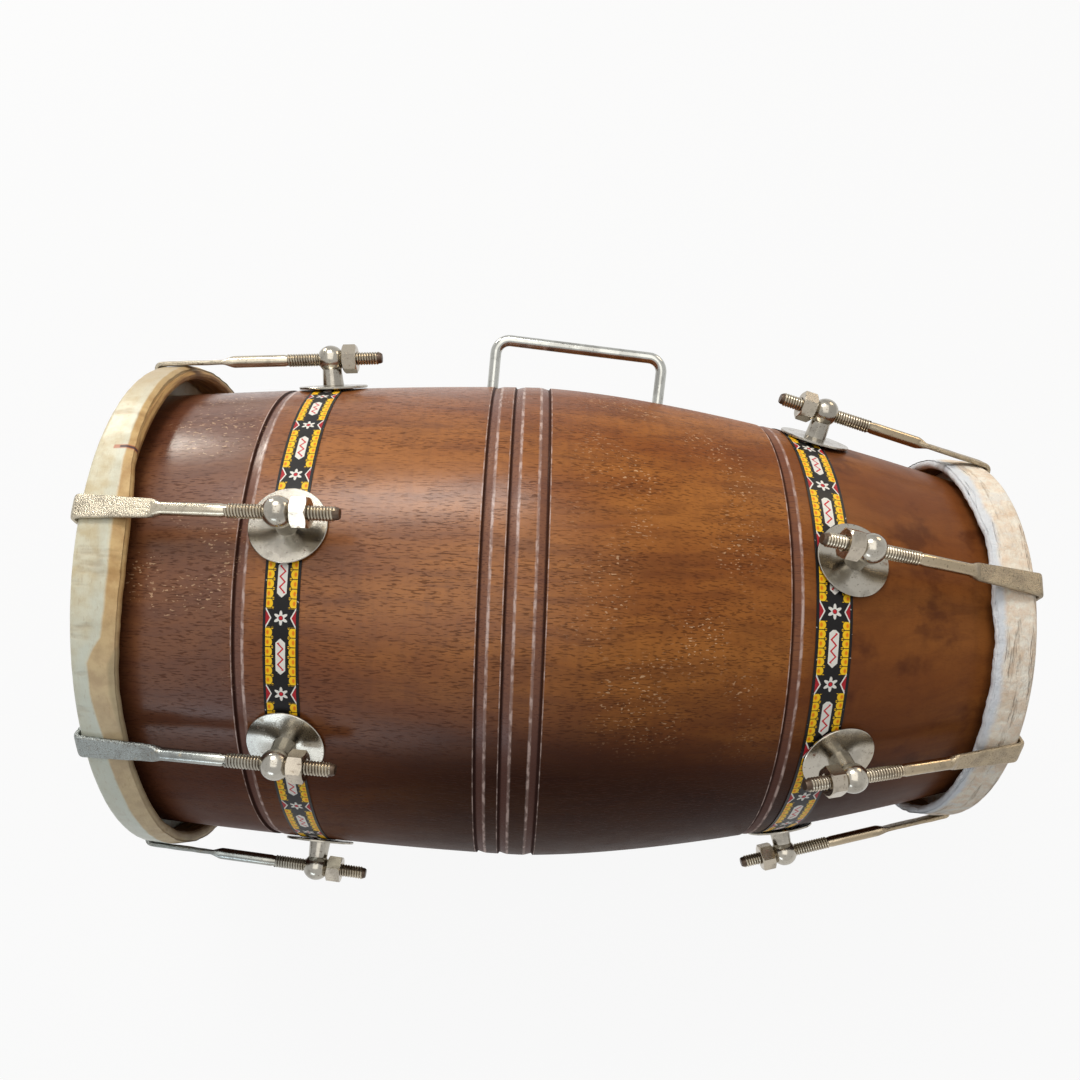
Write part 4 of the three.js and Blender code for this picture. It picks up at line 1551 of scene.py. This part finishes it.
@dataclass
class Hook:
    """A tuning hook: a threaded rod forged into a flat paddle whose end hooks over the hoop.

    Attributes:
        rod_radius: The plain rod's radius.
        thread_radius: The thread's crest.
        root_radius: The thread's root.
        pitch: The thread's pitch.
        thread_length: How much of the rod is threaded.
        paddle_length: From the rod to the bend.
        paddle_thickness: The paddle's thickness.
        neck_width: The paddle's width where it leaves the rod.
        paddle_width: Its width at the hook.
        neck_length: How far the rod takes to flatten.
        bend_radius: The bend's radius, at the middle of its thickness.
        lip: How far the hook comes down.
        unevenness: How far the forging moves its faces.
        turn_steps: Steps in a turn of the thread.
        sides: Points round the bar.
    """

    rod_radius: float = 0.00325
    thread_radius: float = 0.0036
    root_radius: float = 0.00295
    pitch: float = 0.0015
    thread_length: float = 0.055
    paddle_length: float = 0.043
    paddle_thickness: float = 0.0026
    neck_width: float = 0.0094
    paddle_width: float = 0.0122
    neck_length: float = 0.0065
    bend_radius: float = 0.003
    lip: float = 0.009
    unevenness: float = 0.00022
    turn_steps: int = 20
    sides: int = 24

    def slope(self, lug: Lug) -> float:
        """How far the rod comes down towards the head, in radians."""
        return math.atan2(-lug.out.dot(lug.radial), lug.out.dot(lug.axis))

    def bend_place(self, lug: Lug) -> float:
        """From the ball's middle to the hook's bend, along the rod."""
        ahead = lug.out.dot(lug.axis)
        swing = math.sqrt(max(0.0, 1 - ahead ** 2 - lug.out.dot(lug.radial) ** 2))
        corner_lead = self.paddle_width / 2 * swing
        lip_place = lug.end.hoop_front + FIT_GAP + corner_lead + self.paddle_thickness / 2
        return (lip_place - lug.place) / ahead

    def bar(self, lug: Lug) -> bmesh.types.BMesh:
        """The rod and its paddle, from just inside the thread to the lip's end."""
        bend_angle = HALF_PI - self.slope(lug)
        tangent = self.bend_radius * math.tan(bend_angle / 2)
        bend_start = self.bend_place(lug) - tangent
        neck = self.bend_place(lug) - self.paddle_length
        thread_end = self.thread_length - lug.end.free_length
        half = self.paddle_thickness / 2
        stations = [Station(thread_end - 2 * self.pitch, 0, 0, self.root_radius, self.root_radius),
                    Station(thread_end - 0.5 * self.pitch, 0, 0, self.root_radius, self.root_radius),
                    Station(thread_end + 0.3 * self.pitch, 0, 0, self.rod_radius, self.rod_radius)]
        run = neck - thread_end
        stations += [Station(thread_end + run * share, 0, 0, self.rod_radius, self.rod_radius)
                     for share in (0.3, 0.6, 0.9)]
        for step in range(9):
            share = step / 8
            ease = eased(share)
            stations.append(Station(neck + self.neck_length * share, 0, 0,
                                    self.rod_radius + (self.neck_width / 2 - self.rod_radius) * ease,
                                    self.rod_radius + (half - self.rod_radius) * ease, 2 + 3 * ease))
        flat_start = neck + self.neck_length
        flat_run = bend_start - flat_start
        growth = (self.paddle_width - self.neck_width) / 2
        stations += [Station(flat_start + flat_run * share, 0, 0,
                             self.neck_width / 2 + growth * share, half, 5)
                     for share in (0.15, 0.3, 0.45, 0.6, 0.75, 0.9)]
        for step in range(7):
            heading = bend_angle * step / 6
            stations.append(Station(bend_start + self.bend_radius * math.sin(heading),
                                    self.bend_radius * (math.cos(heading) - 1), heading,
                                    self.paddle_width / 2, half, 5))
        last = stations[-1]
        run = self.lip - tangent
        for share, size in ((0.35, 1.0), (0.7, 1.0), (0.93, 0.97), (1.0, 0.84)):
            stations.append(Station(last.x + run * share * math.cos(bend_angle),
                                    last.z - run * share * math.sin(bend_angle), bend_angle,
                                    self.paddle_width / 2 * size, half * size, 5))
        bm = forged(stations, self.sides)
        self.hammer(bm, neck, lug)
        return bm

    def hammer(self, bm: bmesh.types.BMesh, neck: float, lug: Lug) -> None:
        """Gives the paddle its slightly uneven forged faces, and marks it as forged.

        Args:
            bm: The bar.
            neck: Where the paddle starts.
            lug: The lug it is for, so that no two are alike.
        """
        mark = bm.verts.layers.float.new("forged")
        for vert in bm.verts:
            share = clamped((vert.co.x - neck) / self.neck_length)
            vert[mark] = share
            place = vert.co * 160 + Vector((lug.number * 7.3, lug.end.side * 11.0, 0))
            blow = Vector((0, noise.noise(place), noise.noise(place + Vector((5, 5, 5)))))
            vert.co += blow * self.unevenness * share

    def thread(self, lug: Lug) -> bmesh.types.BMesh:
        """The rod's threaded length, with a chamfered free end."""
        bm = bmesh.new()
        mark = bm.verts.layers.float.new("root")
        start = -lug.end.free_length + self.pitch
        turns = int((self.thread_length - 2 * self.pitch) / self.pitch)
        depth = self.thread_radius - self.root_radius
        profile = []
        for share, height in ((0, 0), (0.22, 0.62), (0.5, 1), (0.78, 0.62), (1, 0)):
            vert = bm.verts.new((start + share * self.pitch, 0, self.root_radius + depth * height))
            vert[mark] = (1 - height) ** 2
            profile.append(vert)
        edges = [bm.edges.new(pair) for pair in zip(profile, profile[1:])]
        bmesh.ops.spin(bm, geom=profile + edges, cent=(0, 0, 0), axis=(1, 0, 0),
                       dvec=(self.pitch / self.turn_steps, 0, 0), angle=FULL_TURN * turns,
                       steps=self.turn_steps * turns)
        bmesh.ops.remove_doubles(bm, verts=bm.verts, dist=2e-5)
        self.close_end(bm, -lug.end.free_length, low=True)
        self.close_end(bm, start + (turns + 1) * self.pitch, low=False)
        bmesh.ops.recalc_face_normals(bm, faces=bm.faces)
        return bm

    def close_end(self, bm: bmesh.types.BMesh, place: float, low: bool) -> None:
        """Closes one end of the thread with a chamfer and a flat.

        Args:
            bm: The thread.
            place: Where the flat is.
            low: Whether it is the end at the lower X.
        """
        open_edges = [edge for edge in bm.edges if len(edge.link_faces) == 1]
        middle = sum(edge.verts[0].co.x for edge in open_edges) / len(open_edges)
        rim = [edge for edge in open_edges if (edge.verts[0].co.x < middle) == low]
        for share, radius in ((0.5, self.root_radius), (1.0, self.root_radius * 0.82)):
            verts, rim = grown(bm, rim)
            for vert in verts:
                x, y, z = vert.co
                size = radius / max(1e-6, math.hypot(y, z))
                vert.co = Vector((x + (place - x) * share, y * size, z * size))
        verts, _ = grown(bm, rim)
        bmesh.ops.pointmerge(bm, verts=verts, merge_co=Vector((place, 0, 0)))

    def build(self, lug: Lug, material: bpy.types.Material) -> None:
        """Makes one hook.

        Args:
            lug: Where it goes.
            material: Its material.
        """
        bm = self.bar(lug)
        bm.verts.layers.float.new("root")
        add(bm, self.thread(lug), Matrix.Identity(4))
        name = f"{lug.end.name}_hook_{lug.number}"
        put(f"{name}_forged", bm, lug.rod_matrix(), material, Finish.HOOK, name, [name], corner=40)


@dataclass
class Nut:
    """A tuning nut."""

    flats: float = 0.014
    length: float = 0.008
    bore: float = 0.0037
    floor_reach: float = 0.03

    def build(self, lug: Lug, seat: float, turn: float, material: bpy.types.Material) -> None:
        """Makes one nut.

        Args:
            lug: Where it goes.
            seat: From the ball's middle to the nut's face.
            turn: How far it is turned, in degrees.
            material: Its material.
        """
        bm = hexagon(self.flats, self.length, self.bore)
        on_floor = lug.ball.z < self.floor_reach
        spun = Matrix.Rotation(0.0 if on_floor else math.radians(turn), 4, "X")
        name = f"{lug.end.name}_nut_{lug.number}"
        matrix = lug.rod_matrix() @ Matrix.Translation((-seat - self.length, 0, 0)) @ spun
        put(f"{name}_cut", bm, matrix, material, Finish.NUT, name, [name], corner=18)


@dataclass
class Tuning:
    """All the tuning gear."""

    barrel: Barrel
    post: Post = field(default_factory=Post)
    hook: Hook = field(default_factory=Hook)
    nut: Nut = field(default_factory=Nut)

    def lugs(self) -> Iterator[Lug]:
        """Every lug of both ends."""
        for end in ENDS:
            for number in range(1, POSTS_PER_END + 1):
                yield Lug.from_joint(end, number, self.post.seat)

    def build(self) -> None:
        """Makes every post, hook and nut."""
        post = Steel(Finish.POST, (178, 172, 160), (138, 130, 116), 0.15, 0.5, 0.00004).material()
        hook = Steel(Finish.HOOK, (196, 186, 166), (150, 136, 112), 0.17, 0.5, 0.00010).material()
        nut = Steel(Finish.NUT, (184, 174, 158), (130, 110, 88), 0.16, 0.5, 0.00004).material()
        draw = random.Random(SEED)
        for lug in self.lugs():
            self.post.build(lug, self.barrel, post)
            self.hook.build(lug, hook)
            self.nut.build(lug, self.post.seat, draw.uniform(0, 60), nut)


@dataclass
class Handle:
    """The carrying handle: a bent wire whose feet pass through the shell.

    Attributes:
        barrel: The shell it stands on.
        angle: Its place round the drum.
        bass_foot: Its foot nearer the bass head, along the drum.
        treble_foot: Its foot nearer the treble head.
        heights: How far its grip stands off the chord between its feet, over each foot.
        wire_radius: The wire's radius.
        corner: The radius of its corners.
        depth: How far its feet go in.
    """

    barrel: Barrel
    angle: float = 149
    bass_foot: float = -0.027
    treble_foot: float = 0.0705
    heights: tuple[float, float] = (0.0278, 0.026)
    wire_radius: float = 0.0032
    corner: float = 0.008
    depth: float = 0.0265

    def matrix(self) -> Matrix:
        """The handle's frame: X along the chord between its feet, and Z away from the shell."""
        low = self.barrel.radius(self.bass_foot)
        high = self.barrel.radius(self.treble_foot)
        lean = math.atan2(low - high, self.treble_foot - self.bass_foot)
        middle = Matrix.Translation(((self.bass_foot + self.treble_foot) / 2, 0, (low + high) / 2))
        turn = Matrix.Rotation(HALF_PI - math.radians(self.angle), 4, "X")
        return REST @ turn @ middle @ Matrix.Rotation(lean, 4, "Y")

    def stations(self) -> list[Station]:
        """The wire's rings, from the bass foot to the treble foot."""
        drop = self.barrel.radius(self.bass_foot) - self.barrel.radius(self.treble_foot)
        half = math.hypot(self.treble_foot - self.bass_foot, drop) / 2
        radius = self.wire_radius
        steps = 10
        rings = []
        for side, height in zip((-1, 1), self.heights):
            level = height - self.corner
            leg = [(-half, -self.depth, -HALF_PI), (-half, 0.0, -HALF_PI), (-half, level * 0.5, -HALF_PI)]
            for step in range(steps + 1):
                angle = HALF_PI * step / steps
                leg.append((-half + self.corner * (1 - math.cos(angle)),
                            level + self.corner * math.sin(angle), angle - HALF_PI))
            mirrored = [(-x, z, -heading) for x, z, heading in reversed(leg)]
            rings += leg if side < 0 else mirrored
        return [Station(x, z, heading, radius, radius) for x, z, heading in rings]

    def build(self) -> None:
        """Makes the handle."""
        steel = Steel(Finish.HANDLE, (188, 188, 182), (140, 136, 128), 0.13, 0.35, 0.00003)
        bm = forged(self.stations(), 28)
        put("carry_handle_bent", bm, self.matrix(), steel.material(), Finish.HANDLE, "drum", ["carry_handle"])


def dress_hidden_nodes() -> None:
    """Gives the carried-over CAD nodes, which are inside the shell, their materials."""
    steel = Steel(Finish.FASTENER, (176, 168, 152), (120, 104, 84), 0.34, 0.7, 0.00008).material()
    nodes = {"bass_tuning_paste": Paste().material()}
    for foot in ("bass_side", "treble_side"):
        nodes[f"handle_washer_{foot}"] = steel
        nodes[f"handle_nut_{foot}"] = steel
    for name, material in nodes.items():
        node = frame["nodes"][name]
        node.data.materials.clear()
        node.data.materials.append(material)


# Studio

@dataclass(frozen=True)
class PhotoCamera:
    """The photograph's camera.

    Attributes:
        facing: The side of the drum that faces it, round the axis from -Y towards +Z.
        place: Its place, with X along the drum, Y away from the camera and Z up in the image.
        roll: Its turn about its view.
        pitch: Its tilt up.
        yaw: Its turn to the side.
        lens: Its lens on a 36 mm sensor.
        shift: Its shift across and up.
    """

    facing: float = 69.0
    place: tuple[float, float, float] = (-0.0036, -0.5694, -0.0129)
    roll: float = -2.23
    pitch: float = 0.70
    yaw: float = 0.19
    lens: float = 30.90
    shift: tuple[float, float] = (0.0187, 0.0844)

    def build(self) -> None:
        """Makes the camera and the scene's view through it."""
        turn = (Matrix.Rotation(math.radians(self.yaw), 4, "Z")
                @ Matrix.Rotation(math.radians(self.pitch), 4, "X")
                @ Matrix.Rotation(math.radians(self.roll), 4, "Y"))
        looking = Matrix.Rotation(HALF_PI, 4, "X")
        facing = Matrix.Rotation(-math.radians(self.facing), 4, "X")
        data = bpy.data.cameras.new("photo_camera")
        data.sensor_width = 36
        data.sensor_height = 36
        data.sensor_fit = "HORIZONTAL"
        data.lens = self.lens
        data.shift_x, data.shift_y = self.shift
        data.clip_start = 0.01
        camera = bpy.data.objects.new("photo_camera", data)
        camera.matrix_world = REST @ facing @ Matrix.Translation(self.place) @ turn @ looking
        bpy.context.scene.collection.objects.link(camera)
        bpy.context.scene.camera = camera


@dataclass(frozen=True)
class Lamp:
    """A soft rectangular lamp that points at the drum.

    Attributes:
        name: Its name.
        place: Its place in the row frame.
        size: Its width and height.
        power: Its power in watts.
        color: Its colour.
    """

    name: str
    place: tuple[float, float, float]
    size: tuple[float, float]
    power: float
    color: tuple[float, float, float]

    def build(self, target: Vector) -> None:
        """Makes the lamp.

        Args:
            target: The point it is turned to.
        """
        data = bpy.data.lights.new(self.name, "AREA")
        data.shape = "RECTANGLE"
        data.size, data.size_y = self.size
        data.energy = self.power
        data.color = self.color
        lamp = bpy.data.objects.new(self.name, data)
        lamp.location = self.place
        lamp.rotation_euler = (target - lamp.location).to_track_quat("-Z", "Y").to_euler()
        bpy.context.scene.collection.objects.link(lamp)


LAMPS = (
    Lamp("ceiling", (0.0, 0.0, 2.1), (2.4, 1.6), 15, (1.0, 0.98, 0.94)),
    Lamp("skylight", (-0.38, 1.1, 1.9), (0.85, 0.55), 17, (1.0, 0.99, 0.97)),
    Lamp("window", (-1.0, 1.3, 0.72), (0.32, 0.24), 7.5, (1.0, 0.95, 0.84)),
    Lamp("far_window", (1.1, 1.2, 0.9), (0.5, 0.4), 3.5, (1.0, 0.80, 0.55)),
    Lamp("sky_window", (-0.6, -1.5, 0.45), (0.7, 0.3), 2.4, (0.78, 0.89, 1.0)),
)


@dataclass
class Studio:
    """The floor, the lamps and the surroundings.

    Attributes:
        floor_size: The floor's size each way.
        floor_grey: How much light the floor gives back.
        ambient: The surroundings' light on the drum.
        floor_glow: How much of the floor is seen and mirrored as plain white, without its shadow.
    """

    floor_size: float = 12.0
    floor_grey: float = 0.5
    ambient: float = 0.28
    floor_glow: float = 0.92

    def floor(self) -> None:
        """Makes the pale floor, which keeps the drum's shadow."""
        bm = bmesh.new()
        bmesh.ops.create_grid(bm, x_segments=1, y_segments=1, size=self.floor_size / 2)
        floor = bpy.data.objects.new("floor", mesh_of(bm, "floor"))
        bpy.context.scene.collection.objects.link(floor)
        paint = Paint("floor_white", base_color=(self.floor_grey,) * 3, roughness=0.9, specular_ior_level=0.0)
        glow = paint.node("ShaderNodeEmission", None, {"Color": (1.0, 1.0, 1.0), "Strength": 1.0})["Emission"]
        sockets = {0: paint.plainly_seen() * self.floor_glow, 1: paint.shader["BSDF"], 2: glow}
        mixed = paint.node("ShaderNodeMixShader", None, sockets)["Shader"]
        paint.feed(paint.surface.node.inputs["Surface"], mixed)
        floor.data.materials.append(paint.material)

    def surroundings(self) -> None:
        """Makes the world: pale grey where it is seen or mirrored, and a lower level of light elsewhere."""
        world = bpy.data.worlds.new("surroundings")
        world.use_nodes = True
        tree = Tree(world.node_tree)
        level = tree.plainly_seen() * (1.0 - self.ambient) + self.ambient
        background = tree.node("ShaderNodeBackground", None, {"Strength": level})["Background"]
        tree.node("ShaderNodeOutputWorld", None, {"Surface": background})
        bpy.context.scene.world = world

    def build(self) -> None:
        """Makes the studio."""
        self.floor()
        self.surroundings()
        for lamp in LAMPS:
            lamp.build(REST.translation)
        bpy.context.scene.view_settings.view_transform = "Standard"


def main() -> None:
    """Builds the drum piece by piece, and the studio round it."""
    logging.basicConfig(level=logging.INFO, format="%(name)s: %(message)s")
    PhotoCamera().build()
    barrel = Barrel()
    barrel.build(TurnedWood(barrel).material())
    bass_edge = Course(((-180, 0), (40, 0.3), (52, 0.6), (60, -0.6), (68, -2.1), (76, -3.0), (84, -2.6),
                        (90, -1.4), (97, 1.3), (105, 3.0), (115, 4.0), (150, 4.0), (180, 0)))
    bass_ridge = Course(((-180, 13), (22, 12.6), (32, 11.9), (41, 11.5), (50, 8.8), (56, 8.7), (58.8, 11.7),
                         (61, 15.1), (68, 16.4), (118, 16.6), (180, 13)))
    treble_edge = Course(((-180, 0), (39, 0.3), (45, -0.5), (51, 0.2), (68, -0.1), (78, -1.5), (90, -0.5),
                          (98, 0), (111, -2.3), (140, -1.5), (180, 0)))
    treble_ridge = Course(((-180, 10), (180, 10)))
    bass_skin = Skin(BASS, barrel, 0.0006, bass_edge, bass_ridge, ridge_height=0.0009)
    treble_skin = Skin(TREBLE, barrel, 0.0014, treble_edge, treble_ridge, ridge_height=0.0004)
    bass_skin.build(Goatskin(BASS).material(), Finish.GOATSKIN)
    treble_skin.build(Rawhide(TREBLE).material(), Finish.RAWHIDE)
    cane = Cane().material()
    for end, repeats in ((BASS, 23), (TREBLE, 21)):
        Hoop(end, barrel).build(cane)
        Tape(end, barrel, repeats).build()
    Tuning(barrel).build()
    Handle(barrel).build()
    dress_hidden_nodes()
    Studio().build()


if __name__ == "__main__":
    main()
